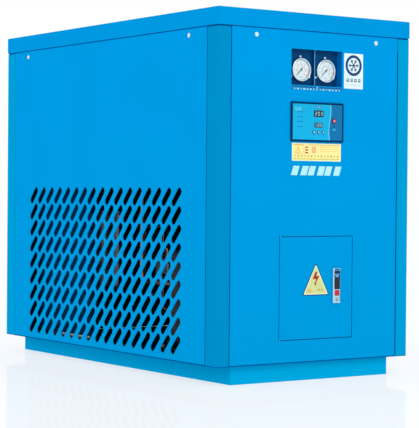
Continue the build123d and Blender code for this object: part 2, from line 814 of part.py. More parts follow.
with BuildPart() as key_cylinder:
    with BuildSketch(facing_front(lock_back_y - 1)):
        with Locations((lock_x, key_cylinder_z)):
            Circle(key_cylinder_radius)
    extrude(amount=lock_body_depth + lock_proud - 0.5)
    with BuildSketch(facing_front(front_y + 4)):
        with Locations((lock_x, key_cylinder_z)):
            Rectangle(1.6, 8.0)
    extrude(amount=4 * lock_proud, mode=Mode.SUBTRACT)
key_cylinder.part.label = "key_cylinder"
export_step(key_cylinder.part, "parts/key_cylinder.step")

bolt_start = lock_x - 8
with BuildPart() as lock_bolt:
    with BuildSketch(facing_front(lock_back_y + 0.5 + bolt_thickness)):
        with Locations(((bolt_start + bolt_reach) / 2, lock_z)):
            Rectangle(bolt_reach - bolt_start, bolt_height)
    extrude(amount=bolt_thickness)
lock_bolt.part.label = "lock_bolt"
export_step(lock_bolt.part, "parts/lock_bolt.step")

# Switchgear on a rail at the back of the electrical box
box_inner_back_y = box_back_y - box_wall
switch_rail_z = 255.0
switch_rail_length = 190.0
switch_rail_height = 35.0
switch_rail_plate = 1.5
switch_rail_lip_height = 5.0
switch_rail_lip_spacing = 26.0
switch_rail_lip_depth = 6.0
with BuildPart() as din_rail:
    with BuildSketch(facing_front(box_inner_back_y)):
        with Locations((box_x, switch_rail_z)):
            Rectangle(switch_rail_length, switch_rail_height)
    extrude(amount=switch_rail_plate)
    with BuildSketch(facing_front(box_inner_back_y - switch_rail_plate)):
        with Locations((box_x, switch_rail_z)):
            with GridLocations(1, switch_rail_lip_spacing, 1, 2):
                Rectangle(switch_rail_length, switch_rail_lip_height)
    extrude(amount=switch_rail_lip_depth)
din_rail.part.label = "din_rail"
export_step(din_rail.part, "parts/din_rail.step")

contactor_x = -60.0
contactor_width = 45.0
contactor_height = 85.0
contactor_depth = 50.0
contactor_nose_width = 38.0
contactor_nose_height = 45.0
contactor_nose_depth = 18.0
contactor_back_y = box_inner_back_y - switch_rail_plate - switch_rail_lip_depth
with BuildPart() as contactor:
    with BuildSketch(facing_front(contactor_back_y)):
        with Locations((contactor_x, switch_rail_z)):
            Rectangle(contactor_width, contactor_height)
    extrude(amount=contactor_depth)
    with BuildSketch(facing_front(contactor_back_y - contactor_depth)):
        with Locations((contactor_x, switch_rail_z)):
            Rectangle(contactor_nose_width, contactor_nose_height)
    extrude(amount=contactor_nose_depth)
contactor.part.label = "contactor"
export_step(contactor.part, "parts/contactor.step")

# Compressor on four rubber grommets
compressor_bottom = floor_z + grommet_height + foot_plate
with BuildPart() as compressor:
    with BuildSketch(Plane.XY.offset(compressor_bottom)):
        with Locations((compressor_x, compressor_y)):
            Circle(compressor_radius)
    extrude(amount=compressor_top - compressor_bottom)
    fillet(compressor.faces().sort_by(Axis.Z)[-1].edges(), 45)
    fillet(compressor.faces().sort_by(Axis.Z)[0].edges(), 20)
    with BuildSketch(Plane.XY.offset(compressor_band_z)):
        with Locations((compressor_x, compressor_y)):
            Circle(compressor_radius + 3)
    extrude(amount=6)
    with BuildSketch(Plane.XY.offset(floor_z + grommet_height)):
        with Locations((compressor_x, compressor_y)):
            RectangleRounded(foot_spacing + 2 * foot_margin, foot_spacing + 2 * foot_margin, foot_margin)
            with GridLocations(foot_spacing, foot_spacing, 2, 2):
                Circle(foot_hole_radius, mode=Mode.SUBTRACT)
    extrude(amount=foot_plate)
    with BuildSketch(Plane.YZ.offset(compressor_x)):
        with Locations((compressor_y, discharge_z)):
            Circle(compressor_stub_radius)
    extrude(amount=compressor_radius + compressor_stub_length)
    with BuildSketch(facing_rear(compressor_y)):
        with Locations((-compressor_x, suction_stub_z)):
            Circle(compressor_stub_radius)
    extrude(amount=compressor_radius + compressor_stub_length)
    with BuildSketch(facing_front(compressor_y)):
        with Locations((compressor_x, terminal_box_z)):
            Rectangle(terminal_box_width, terminal_box_height)
    extrude(amount=compressor_radius + terminal_box_depth)
compressor.part.label = "compressor"
export_step(compressor.part, "parts/compressor.step")

with BuildPart() as compressor_grommets:
    with BuildSketch(Plane.XY.offset(floor_z)):
        with Locations((compressor_x, compressor_y)):
            with GridLocations(foot_spacing, foot_spacing, 2, 2):
                Circle(grommet_radius)
                Circle(foot_hole_radius - 1, mode=Mode.SUBTRACT)
    extrude(amount=grommet_height)
compressor_grommets.part.label = "compressor_grommets"
export_step(compressor_grommets.part, "parts/compressor_grommets.step")

# Condenser: fins between two end plates, threaded by tubes, behind the right grille
condenser_z = condenser_bottom + condenser_height / 2
fin_count = int((condenser_length - 20) / fin_pitch)
header_y = condenser_length / 2 - 6
with BuildPart() as condenser:
    with BuildSketch(Plane.YZ.offset(condenser_x - condenser_depth / 2)):
        with Locations((0, condenser_z)):
            with GridLocations(fin_pitch, 1, fin_count, 1):
                Rectangle(fin_thickness, condenser_height)
            with GridLocations(condenser_length - end_plate_thickness, 1, 2, 1):
                Rectangle(end_plate_thickness, condenser_height)
    extrude(amount=condenser_depth)
    with BuildSketch(facing_front(condenser_length / 2)):
        with Locations((condenser_x, condenser_z)):
            with GridLocations(tube_row_spacing, tube_layer_spacing, tube_rows, tube_layers):
                Circle(tube_radius)
    extrude(amount=condenser_length)
    with BuildSketch(Plane.XY.offset(condenser_bottom + condenser_height - 40)):
        with Locations((condenser_x, -header_y)):
            Circle(pipe_radius + 2)
    extrude(amount=40 + condenser_stub_length)
    with BuildSketch(facing_front(condenser_length / 2 + condenser_stub_length)):
        with Locations((condenser_x, condenser_bottom + 30)):
            Circle(pipe_radius + 2)
    extrude(amount=condenser_stub_length)
condenser.part.label = "condenser"
export_step(condenser.part, "parts/condenser.step")

# Fan shroud between the condenser and the fan
shroud_depth = condenser_x - condenser_depth / 2 - shroud_face_x
ring_radius = fan_radius + 7
with BuildPart() as fan_shroud:
    with BuildSketch(Plane.YZ.offset(shroud_face_x)):
        with Locations((0, condenser_z)):
            Rectangle(condenser_length, condenser_height)
    extrude(amount=shroud_depth)
    with BuildSketch(Plane.YZ.offset(shroud_face_x + sheet)):
        with Locations((0, condenser_z)):
            Rectangle(condenser_length - 2 * sheet, condenser_height - 2 * sheet)
        with Locations((0, fan_z)):
            Circle(ring_radius + sheet, mode=Mode.SUBTRACT)
    extrude(amount=shroud_depth, mode=Mode.SUBTRACT)
    with BuildSketch(Plane.YZ.offset(shroud_face_x + shroud_rim_depth)):
        with Locations((0, condenser_z)):
            Rectangle(condenser_length - 2 * sheet, condenser_height - 2 * sheet)
    extrude(amount=shroud_depth, mode=Mode.SUBTRACT)
    with BuildSketch(Plane.YZ.offset(shroud_face_x)):
        with Locations((0, fan_z)):
            Circle(ring_radius)
    extrude(amount=shroud_depth, mode=Mode.SUBTRACT)
fan_shroud.part.label = "fan_shroud"
export_step(fan_shroud.part, "parts/fan_shroud.step")

# Fan motor on four arms, and the fan on its shaft
motor_radius = 52.0
motor_length = 70.0
arm_thickness = 10.0
motor_back_x = shroud_face_x - arm_thickness - motor_length
arm_width = 14.0
hub_start_x = shroud_face_x + 8
hub_end_x = shroud_face_x + 44
with BuildPart() as fan_motor:
    with BuildSketch(Plane.YZ.offset(motor_back_x)):
        with Locations((0, fan_z)):
            Circle(motor_radius)
    extrude(amount=motor_length)
    fillet(fan_motor.faces().sort_by(Axis.X)[0].edges(), 8)
    with BuildSketch(Plane.YZ.offset(shroud_face_x - arm_thickness)):
        with Locations((0, fan_z)):
            Rectangle(2 * ring_radius + 24, arm_width)
            Rectangle(arm_width, 2 * ring_radius + 24)
            Circle(motor_radius)
    extrude(amount=arm_thickness)
    with BuildSketch(Plane.YZ.offset(shroud_face_x)):
        with Locations((0, fan_z)):
            Circle(fan_shaft_radius)
    extrude(amount=50)
fan_motor.part.label = "fan_motor"
export_step(fan_motor.part, "parts/fan_motor.step")

blade_pitch_angle = 28.0
blade_root_width = 56.0
blade_tip_width = 100.0
blade_thickness = 2.4
blade_length = fan_radius - fan_hub_radius
with BuildPart() as fan:
    with BuildSketch(Plane.YZ.offset(hub_start_x)):
        with Locations((0, fan_z)):
            Circle(fan_hub_radius)
    extrude(amount=hub_end_x - hub_start_x)
    for blade in range(fan_blade_count):
        around = 360.0 * blade / fan_blade_count
        outward = Vector(0, 1, 0).rotate(Axis.X, around)
        tangent = Vector(0, 0, 1).rotate(Axis.X, around)
        chord = Vector(1, 0, 0) * math.sin(math.radians(blade_pitch_angle)) + tangent * math.cos(
            math.radians(blade_pitch_angle)
        )
        root_point = Vector((hub_start_x + hub_end_x) / 2, 0, fan_z) + outward * (fan_hub_radius - 6)
        blade_plane = Plane(origin=root_point, x_dir=chord, z_dir=outward)
        with BuildSketch(blade_plane):
            Rectangle(blade_root_width + 2, blade_thickness + 0.1)
        extrude(amount=10)
        blade_face = Plane(origin=root_point, x_dir=outward, z_dir=chord.cross(outward))
        with BuildSketch(blade_face):
            Polygon(
                (0, -blade_root_width / 2),
                (blade_length, -blade_tip_width / 2),
                (blade_length, blade_tip_width / 2),
                (0, blade_root_width / 2),
                align=None,
            )
        extrude(amount=blade_thickness / 2, both=True)
    with BuildSketch(Plane.YZ.offset(hub_start_x - 1)):
        with Locations((0, fan_z)):
            Circle(fan_shaft_radius + running_clearance)
    extrude(amount=hub_end_x - hub_start_x + 2, mode=Mode.SUBTRACT)
fan.part.label = "fan"
export_step(fan.part, "parts/fan.step")

# Insulated heat exchanger with the moisture separator under it
with BuildPart() as heat_exchanger:
    with BuildSketch(Plane.XY.offset(exchanger_bottom)):
        with Locations((exchanger_x, exchanger_y)):
            RectangleRounded(exchanger_width, exchanger_length, 18)
    extrude(amount=exchanger_top - exchanger_bottom)
    fillet(heat_exchanger.faces().sort_by(Axis.Z)[-1].edges(), 10)
heat_exchanger.part.label = "heat_exchanger"
export_step(heat_exchanger.part, "parts/heat_exchanger.step")

with BuildPart() as moisture_separator:
    with BuildSketch(Plane.XY.offset(separator_bottom)):
        with Locations((exchanger_x, separator_y)):
            Circle(separator_radius)
    extrude(amount=exchanger_bottom - separator_bottom)
    fillet(moisture_separator.faces().sort_by(Axis.Z)[0].edges(), 30)
    with BuildSketch(Plane.XY.offset(separator_bottom + separator_base)):
        with Locations((exchanger_x, separator_y)):
            Circle(separator_radius - separator_wall)
    extrude(amount=exchanger_bottom - separator_bottom - separator_base, mode=Mode.SUBTRACT)
moisture_separator.part.label = "moisture_separator"
export_step(moisture_separator.part, "parts/moisture_separator.step")

# Automatic drain, hand valve with its lever, and the outlet through the rear panel
drain_body_radius = 28.0
drain_body_bottom = 100.0
drain_body_top = 158.0
drain_neck_radius = 10.0
with BuildPart() as auto_drain:
    with BuildSketch(Plane.XY.offset(drain_body_bottom)):
        with Locations((exchanger_x, separator_y)):
            Circle(drain_body_radius)
    extrude(amount=drain_body_top - drain_body_bottom)
    fillet(auto_drain.faces().sort_by(Axis.Z)[0].edges(), 6)
    with BuildSketch(Plane.XY.offset(drain_body_top)):
        with Locations((exchanger_x, separator_y)):
            Circle(drain_neck_radius)
    extrude(amount=separator_bottom - drain_body_top)
auto_drain.part.label = "auto_drain"
export_step(auto_drain.part, "parts/auto_drain.step")

valve_y = 465.0
valve_body_length = 44.0
valve_body_radius = 16.0
valve_stem_radius = 5.0
valve_lever_width = 12.0
valve_lever_length = 60.0
valve_lever_z = drain_z + 18
drain_start_y = separator_y + drain_body_radius
with BuildPart() as drain_valve:
    with BuildSketch(facing_front(overall_y)):
        with Locations((exchanger_x, drain_z)):
            Circle(drain_pipe_radius)
    extrude(amount=overall_y - drain_start_y)
    with BuildSketch(facing_front(valve_y + valve_body_length / 2)):
        with Locations((exchanger_x, drain_z)):
            RegularPolygon(valve_body_radius, 6)
    extrude(amount=valve_body_length)
    with BuildSketch(Plane.XY.offset(drain_z)):
        with Locations((exchanger_x, valve_y)):
            Circle(valve_stem_radius)
    extrude(amount=26)
    with BuildSketch(facing_front(overall_y)):
        with Locations((exchanger_x, drain_z)):
            Circle(drain_bore_radius)
    extrude(amount=60, mode=Mode.SUBTRACT)
drain_valve.part.label = "drain_valve"
export_step(drain_valve.part, "parts/drain_valve.step")

with BuildPart() as valve_lever:
    with BuildSketch(Plane.XY.offset(valve_lever_z)):
        with Locations((exchanger_x, valve_y)):
            Circle(2 * valve_stem_radius)
        with Locations((exchanger_x, valve_y + valve_lever_length / 2)):
            Rectangle(valve_lever_width, valve_lever_length)
        with Locations((exchanger_x, valve_y)):
            Circle(valve_stem_radius + running_clearance, mode=Mode.SUBTRACT)
    extrude(amount=4)
    fillet(valve_lever.edges().filter_by(Axis.Z).group_by(Axis.Y)[-1], 5)
valve_lever.part.label = "valve_lever"
export_step(valve_lever.part, "parts/valve_lever.step")

# Air pipes from the exchanger to the threaded ports on the rear
exchanger_rear_y = exchanger_y + exchanger_length / 2
for pipe_name, x_sign in (("air_inlet_pipe", -1), ("air_outlet_pipe", 1)):
    port_x = exchanger_x + x_sign * port_spacing / 2
    with BuildPart() as air_pipe:
        with BuildSketch(facing_front(overall_y)):
            with Locations((port_x, port_z)):
                Circle(port_pipe_radius)
        extrude(amount=overall_y - exchanger_rear_y)
        with BuildSketch(facing_front(overall_y)):
            with Locations((port_x, port_z)):
                Circle(port_outer_radius)
        extrude(amount=port_collar_length)
        with BuildSketch(facing_front(overall_y)):
            with Locations((port_x, port_z)):
                Circle(port_bore_radius)
        extrude(amount=overall_y - exchanger_rear_y, mode=Mode.SUBTRACT)
        with BuildSketch(facing_front(overall_y)):
            with Locations((port_x, port_z)):
                Circle(port_thread_radius)
        extrude(amount=port_thread_length, mode=Mode.SUBTRACT)
    air_pipe.part.label = pipe_name
    export_step(air_pipe.part, f"parts/{pipe_name}.step")

# Refrigerant pipes
condenser_top_stub = condenser_bottom + condenser_height + condenser_stub_length
discharge_start = (compressor_x + compressor_radius + compressor_stub_length, compressor_y, discharge_z)
discharge_rise_x = 60.0
discharge_top_z = 600.0
with BuildPart() as discharge_pipe:
    with BuildLine() as discharge_path:
        FilletPolyline(
            discharge_start,
            (discharge_rise_x, compressor_y, discharge_z),
            (discharge_rise_x, compressor_y, discharge_top_z),
            (condenser_x, -header_y, discharge_top_z),
            (condenser_x, -header_y, condenser_top_stub),
            radius=25,
        )
    with BuildSketch(Plane(origin=discharge_start, z_dir=(1, 0, 0))):
        Circle(pipe_radius)
    sweep(path=discharge_path.line)
discharge_pipe.part.label = "discharge_pipe"
export_step(discharge_pipe.part, "parts/discharge_pipe.step")

suction_start = (compressor_x, compressor_y + compressor_radius + compressor_stub_length, suction_stub_z)
exchanger_front_y = exchanger_y - exchanger_length / 2
suction_drop_y = 60.0
suction_z = 500.0
with BuildPart() as suction_pipe:
    with BuildLine() as suction_path:
        FilletPolyline(
            suction_start,
            (compressor_x, suction_drop_y, suction_stub_z),
            (compressor_x, suction_drop_y, suction_z),
            (compressor_x, exchanger_front_y, suction_z),
            radius=35,
        )
    with BuildSketch(Plane(origin=suction_start, z_dir=(0, 1, 0))):
        Circle(pipe_radius + 2)
    sweep(path=suction_path.line)
suction_pipe.part.label = "suction_pipe"
export_step(suction_pipe.part, "parts/suction_pipe.step")

liquid_z = condenser_bottom + 30
liquid_start = (condenser_x, condenser_length / 2 + condenser_stub_length, liquid_z)
liquid_pipe_radius = 5.0
liquid_exit_x = 20.0
expansion_z = 380.0
with BuildPart() as liquid_pipe:
    with BuildLine() as liquid_path:
        FilletPolyline(
            liquid_start,
            (condenser_x, drier_y, liquid_z),
            (drier_x, drier_y, liquid_z),
            (drier_x, drier_y, drier_bottom),
            radius=20,
        )
    with BuildSketch(Plane(origin=liquid_start, z_dir=(0, 1, 0))):
        Circle(liquid_pipe_radius)
    sweep(path=liquid_path.line)
    with BuildLine() as expansion_path:
        FilletPolyline(
            (drier_x, drier_y, drier_top),
            (drier_x, drier_y, expansion_z),
            (liquid_exit_x, drier_y, expansion_z),
            (liquid_exit_x, drier_y, exchanger_bottom),
            radius=18,
        )
    with BuildSketch(Plane.XY.offset(drier_top)):
        with Locations((drier_x, drier_y)):
            Circle(liquid_pipe_radius)
    sweep(path=expansion_path.line)
liquid_pipe.part.label = "liquid_pipe"
export_step(liquid_pipe.part, "parts/liquid_pipe.step")

with BuildPart() as filter_drier:
    with BuildSketch(Plane.XY.offset(drier_bottom)):
        with Locations((drier_x, drier_y)):
            Circle(drier_radius)
    extrude(amount=drier_top - drier_bottom)
    fillet(filter_drier.edges().filter_by(GeomType.CIRCLE), 12)
filter_drier.part.label = "filter_drier"
export_step(filter_drier.part, "parts/filter_drier.step")

# Cable gland on the rear panel
with BuildPart() as cable_gland:
    with BuildSketch(facing_front(overall_y)):
        with Locations((gland_x, gland_z)):
            RegularPolygon(gland_hex_radius, 6)
    extrude(amount=overall_y - body_y)
    with BuildSketch(facing_front(overall_y)):
        with Locations((gland_x, gland_z)):
            Circle(gland_bore_radius + gland_wall)
    extrude(amount=overall_y - body_y + 24)
    with BuildSketch(facing_front(body_y - sheet)):
        with Locations((gland_x, gland_z)):
            RegularPolygon(gland_hex_radius + 1, 6)
    extrude(amount=gland_nut_thickness)
    with BuildSketch(facing_front(overall_y)):
        with Locations((gland_x, gland_z)):
            Circle(gland_bore_radius)
    extrude(amount=40, mode=Mode.SUBTRACT)
cable_gland.part.label = "cable_gland"
export_step(cable_gland.part, "parts/cable_gland.step")

# Partition plate behind the rear part of the left grille
partition_x = -272.0
partition_start_y = 128.0
partition_top = 560.0
partition_fold = 25.0
with BuildPart() as partition_plate:
    with BuildSketch(Plane.YZ.offset(partition_x)):
        with Locations(((partition_start_y + post_inner_y) / 2, (floor_z + partition_top) / 2)):
            Rectangle(post_inner_y - partition_start_y, partition_top - floor_z)
    extrude(amount=sheet)
    with BuildSketch(Plane.YZ.offset(partition_x)):
        with Locations((partition_start_y + sheet / 2, (floor_z + partition_top) / 2)):
            Rectangle(sheet, partition_top - floor_z)
    extrude(amount=partition_fold)
partition_plate.part.label = "partition_plate"
export_step(partition_plate.part, "parts/partition_plate.step")
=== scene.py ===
import json
import math

import bmesh
import bpy
from mathutils import Matrix, Vector
from mathutils.geometry import tessellate_polygon


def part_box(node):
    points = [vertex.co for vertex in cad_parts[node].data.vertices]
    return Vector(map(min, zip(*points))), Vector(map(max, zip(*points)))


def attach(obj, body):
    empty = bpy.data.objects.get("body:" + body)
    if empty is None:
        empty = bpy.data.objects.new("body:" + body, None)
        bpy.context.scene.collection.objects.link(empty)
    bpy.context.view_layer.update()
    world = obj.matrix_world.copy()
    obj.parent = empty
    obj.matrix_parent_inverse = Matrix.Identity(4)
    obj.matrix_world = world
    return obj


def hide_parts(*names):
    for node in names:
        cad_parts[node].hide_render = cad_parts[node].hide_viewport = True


# Refrigerated air dryer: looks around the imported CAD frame, which is in metres, +X right, +Y rear, +Z up.
# Pieces are drawn in millimetres and scaled when they are finished.

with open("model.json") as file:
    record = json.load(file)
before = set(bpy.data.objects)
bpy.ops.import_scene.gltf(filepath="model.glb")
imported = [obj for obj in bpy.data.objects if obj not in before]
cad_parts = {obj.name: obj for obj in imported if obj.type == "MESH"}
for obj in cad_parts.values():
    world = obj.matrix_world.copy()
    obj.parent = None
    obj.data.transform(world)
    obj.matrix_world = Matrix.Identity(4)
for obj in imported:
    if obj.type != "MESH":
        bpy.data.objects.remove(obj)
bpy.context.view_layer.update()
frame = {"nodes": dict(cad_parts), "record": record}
nodes = frame["nodes"]
MM = 0.001


# ---------------- camera, floor and light

CAMERA_PLACE = (-2.618, -3.902, 0.484)
CAMERA_ANGLES = (34.37, 0.735, 0.464)  # yaw, pitch and roll in degrees
FOCAL_LENGTH = 137.1
LIGHT_SIZE = 1.6
FLOOR_REACH = 40.0
FLOOR_DROP = 0.0004
FLOOR_GLOW = (0.955, 0.98, 1.0, 1)
FLOOR_TINT = (0.95, 0.965, 0.98, 1)


def link(item):
    bpy.context.scene.collection.objects.link(item)


def add_camera():
    """Eye level near the middle of the cabinet, 34 degrees off its front."""
    yaw, pitch, roll = (math.radians(angle) for angle in CAMERA_ANGLES)
    forward = Vector((math.sin(yaw) * math.cos(pitch), math.cos(yaw) * math.cos(pitch), -math.sin(pitch)))
    level_right = forward.cross(Vector((0, 0, 1))).normalized()
    level_up = level_right.cross(forward)
    right = level_right * math.cos(roll) + level_up * math.sin(roll)
    up = level_up * math.cos(roll) - level_right * math.sin(roll)
    data = bpy.data.cameras.new("camera")
    data.lens = FOCAL_LENGTH
    data.sensor_width = 36.0
    camera = bpy.data.objects.new("camera", data)
    link(camera)
    place = Matrix((right, up, -forward)).transposed().to_4x4()
    place.translation = Vector(CAMERA_PLACE)
    camera.matrix_world = place
    bpy.context.scene.camera = camera


def add_area_light(name, location, target, power):
    data = bpy.data.lights.new(name, "AREA")
    data.shape = "DISK"
    data.size = LIGHT_SIZE
    data.energy = power
    light = bpy.data.objects.new(name, data)
    light.location = location
    light.rotation_euler = (Vector(target) - Vector(location)).to_track_quat("-Z", "Y").to_euler()
    link(light)


def add_lights():
    world = bpy.data.worlds.new("studio")
    bpy.context.scene.world = world
    world.use_nodes = True
    background = world.node_tree.nodes["Background"]
    background.inputs["Color"].default_value = (1.0, 1.0, 1.0, 1.0)
    background.inputs["Strength"].default_value = 1.0
    add_area_light("key_light", (-0.4, -3.6, 2.8), (0, -0.3, 0.5), 16)
    add_area_light("side_light", (-3.6, 0.4, 2.4), (0, 0, 0.5), 9)
    bpy.context.scene.view_settings.view_transform = "Standard"


def add_floor():
    """A pale glowing table that mirrors the cabinet faintly and takes only a light shadow."""
    mesh = bpy.data.meshes.new("floor")
    r = FLOOR_REACH
    mesh.from_pydata([(-r, -r, 0), (r, -r, 0), (r, r, 0), (-r, r, 0)], [], [(0, 1, 2, 3)])
    floor = bpy.data.objects.new("floor", mesh)
    floor.location.z = -FLOOR_DROP
    link(floor)
    material = bpy.data.materials.new("floor")
    material.use_nodes = True
    tree = material.node_tree
    tree.nodes.clear()
    glow = add_node(tree, "Emission", {"Color": FLOOR_GLOW, "Strength": 1.06})
    diffuse = add_node(tree, "BsdfDiffuse", {"Color": FLOOR_TINT})
    gloss = add_node(tree, "BsdfGlossy", {"Roughness": 0.06})
    body = add_node(tree, "MixShader", {0: 0.22, 1: glow, 2: diffuse})
    mirror = add_node(tree, "MixShader", {0: 0.13, 1: body, 2: gloss})
    tree.links.new(mirror, tree.nodes.new("ShaderNodeOutputMaterial").inputs["Surface"])
    mesh.materials.append(material)


# ---------------- material building blocks

def add_node(tree, kind, inputs, output=0, **settings):
    """Adds a shader node, sets or links its inputs, and returns one of its outputs."""
    node = tree.nodes.new("ShaderNode" + kind)
    for name, value in settings.items():
        setattr(node, name, value)
    for name, value in inputs.items():
        if isinstance(value, bpy.types.NodeSocket):
            tree.links.new(value, node.inputs[name])
        else:
            node.inputs[name].default_value = value
    return node.outputs[output]


class Look:
    """A material under construction: one Principled shader, fed from object coordinates in metres."""

    def __init__(self, name, colour, roughness, metallic=0.0, specular=0.5, alpha=1.0):
        self.material = bpy.data.materials.new(name)
        self.material.use_nodes = True
        self.tree = self.material.node_tree
        self.inputs = self.tree.nodes["Principled BSDF"].inputs
        settings = {"Base Color": (*colour, 1), "Roughness": roughness, "Metallic": metallic,
                    "Specular IOR Level": specular, "Alpha": alpha}
        for socket, value in settings.items():
            self.inputs[socket].default_value = value
        self.place = add_node(self.tree, "TexCoord", {}, "Object")

    def axes(self):
        """The X, Y and Z coordinates."""
        return add_node(self.tree, "SeparateXYZ", {"Vector": self.place}).node.outputs

    def noise(self, scale, detail):
        settings = {"Vector": self.place, "Scale": scale, "Detail": detail}
        return add_node(self.tree, "TexNoise", settings, "Fac")

    def ramp(self, value, low=0.3, high=0.7, out_low=0.0, out_high=1.0):
        ends = {"From Min": low, "From Max": high, "To Min": out_low, "To Max": out_high}
        return add_node(self.tree, "MapRange", {"Value": value, **ends}, "Result")

    def math(self, operation, first, second=0.0):
        return add_node(self.tree, "Math", {0: first, 1: second}, operation=operation)

    def mix(self, factor, first, second):
        """A colour between first and second, each a colour or a socket."""
        ends = [(*value, 1) if isinstance(value, tuple) else value for value in (first, second)]
        return add_node(self.tree, "Mix", {0: factor, 6: ends[0], 7: ends[1]}, 2, data_type="RGBA")

    def paint(self, colour):
        self.tree.links.new(colour, self.inputs["Base Color"])

    def rough(self, grain, low, high):
        self.tree.links.new(self.ramp(grain, out_low=low, out_high=high), self.inputs["Roughness"])

    def bump(self, grain, strength, distance=0.0004):
        settings = {"Height": grain, "Strength": strength, "Distance": distance}
        self.tree.links.new(add_node(self.tree, "Bump", settings, "Normal"), self.inputs["Normal"])


def shade(colour, factor):
    return tuple(min(1.0, c * factor) for c in colour)


# ---------------- materials

# Painted shade: a near-black colour for the inner faces of the blue sheets, where the cabinet is dark
# inside.
INSIDE_SHADE = (0.006, 0.010, 0.018)
BLUE = (0.0, 0.315, 0.745)
SIDE_FACE, END_FACE = 0.31105, 0.56355  # just inside the cabinet's outer faces
LID_FACE, BASE_FACE = 0.9485, 0.0495  # just under the lid's top, and under the base plate
FASCIA_LOW, FASCIA_HIGH = 0.624, 0.716
DIVIDER_HALF, POCKET_WALL = 0.0021, 0.0805


def powder_coat(name, colour, inside=INSIDE_SHADE, lower=1.0):
    """Satin powder coat: orange peel, faint mottling, less blue low down as painted shade, and a darker
    colour inside as painted shade.
    """
    look = Look(name, colour, 0.45, specular=0.0)
    x, y, z = look.axes()
    paint = look.mix(look.ramp(look.noise(6.0, 4)), shade(colour, 0.965), shade(colour, 1.02))
    # Less blue towards the bottom: painted shade.
    paint = look.mix(look.ramp(z, 0.0, 0.8), (colour[0], colour[1], colour[2] * lower), paint)
    # Faces inside the outer skin take the inside colour: painted shade for the dark interior.
    skin = look.math("GREATER_THAN", look.math("ABSOLUTE", x), SIDE_FACE)
    for face in (look.math("GREATER_THAN", look.math("ABSOLUTE", y), END_FACE),
                 look.math("GREATER_THAN", z, LID_FACE), look.math("LESS_THAN", z, BASE_FACE)):
        skin = look.math("MAXIMUM", skin, face)
    look.paint(look.mix(skin, inside, paint))
    look.rough(look.noise(14.0, 5), 0.40, 0.51)
    look.bump(look.noise(700.0, 2), 0.12)
    return look.material


def tray_paint(name, dark, divider, lit):
    """Dark tray behind the gauge window, with a lighter divider and a right-hand wall painted lighter as
    painted light.
    """
    look = Look(name, dark, 0.45, specular=0.05)
    x = look.axes()["X"]
    # The right-hand wall is painted lighter than the tray: painted light.
    wall = look.mix(look.math("GREATER_THAN", x, POCKET_WALL), dark, lit)
    look.paint(look.mix(look.math("LESS_THAN", look.math("ABSOLUTE", x), DIVIDER_HALF), wall, divider))
    fine = look.noise(700.0, 2)
    look.rough(fine, 0.4, 0.5)
    look.bump(fine, 0.1)
    return look.material


def metal(name, colour, roughness, grain=300.0, bump=0.05, stain=0.9):
    """Bare metal with a fine grain and slight staining."""
    look = Look(name, colour, roughness, metallic=1.0)
    look.paint(look.mix(look.ramp(look.noise(25.0, 4), 0.35), colour, shade(colour, stain)))
    fine = look.noise(grain, 3)
    look.rough(fine, max(0.03, roughness - 0.06), roughness + 0.08)
    look.bump(fine, bump, 0.0002)
    return look.material


def moulded(name, colour, roughness=0.45, specular=0.4, texture=500.0, bump=0.08, spread=0.08):
    """Moulded plastic, rubber, foam, film or print with a fine grain."""
    look = Look(name, colour, roughness, specular=specular)
    darker, lighter = shade(colour, 1 - spread), shade(colour, 1 + spread)
    look.paint(look.mix(look.ramp(look.noise(30.0, 3)), darker, lighter))
    fine = look.noise(texture, 3)
    look.rough(fine, max(0.05, roughness - 0.06), roughness + 0.06)
    look.bump(fine, bump)
    return look.material


def ink(name, *colour):
    """Screen-printed ink on a film or a dial."""
    return moulded(name, colour, 0.5, 0.15, 900.0, 0.02, 0.03)


def graded_film(name, low_colour, high_colour):
    """A printed film whose colour changes with height, under a satin overlay."""
    look = Look(name, low_colour, 0.35, specular=0.12)
    look.paint(look.mix(look.ramp(look.axes()["Z"], FASCIA_LOW, FASCIA_HIGH), low_colour, high_colour))
    fine = look.noise(900.0, 2)
    look.rough(fine, 0.3, 0.42)
    look.bump(fine, 0.03, 0.0002)
    return look.material


def clear_cover(name):
    """Thin clear glass over a dial."""
    look = Look(name, (0.92, 0.96, 1.0), 0.03, specular=0.6, alpha=0.08)
    look.rough(look.noise(60.0, 2), 0.02, 0.06)
    return look.material


# In PAINTS the inside colours are painted shade, and the blue kept low down is painted shade towards the
# bottom.
PAINTS = {  # colour, colour inside, blue kept low down
    "blue_paint": (BLUE, INSIDE_SHADE, 0.93),
    # post_paint, left on the front-left post, is a darker shaded copy of the post blue (painted shade);
    # light_post_paint is the lighter copy on the other three posts.
    "post_paint": ((0.0, 0.264, 0.565),),
    "lid_paint": (shade(BLUE, 0.955),),
    "light_post_paint": ((0.0, 0.335, 0.66),),
    "plinth_paint": ((0.0, 0.395, 0.73),),
    # The door's darker blue inside is painted shade.
    "door_paint": (BLUE, shade(BLUE, 0.8), 0.93),
    # The partition's very dark blue is the cabinet blue with painted shade, for a plate seen in the dark
    # interior.
    "dark_blue_paint": ((0.0, 0.045, 0.15), (0.0, 0.040, 0.13)),
    # Base plate: a dark blue edge that stands in for the shadow line under the panels, and painted shade on
    # its inside top.
    "base_paint": ((0.0, 0.11, 0.36), (0.0, 0.02, 0.05)),
    # Dark blue painted shade for the gaps: the top rails seen through the lid gap, and the seam strips and
    # pads.
    "rail_paint": ((0.0, 0.10, 0.30), (0.0, 0.10, 0.30)),
}
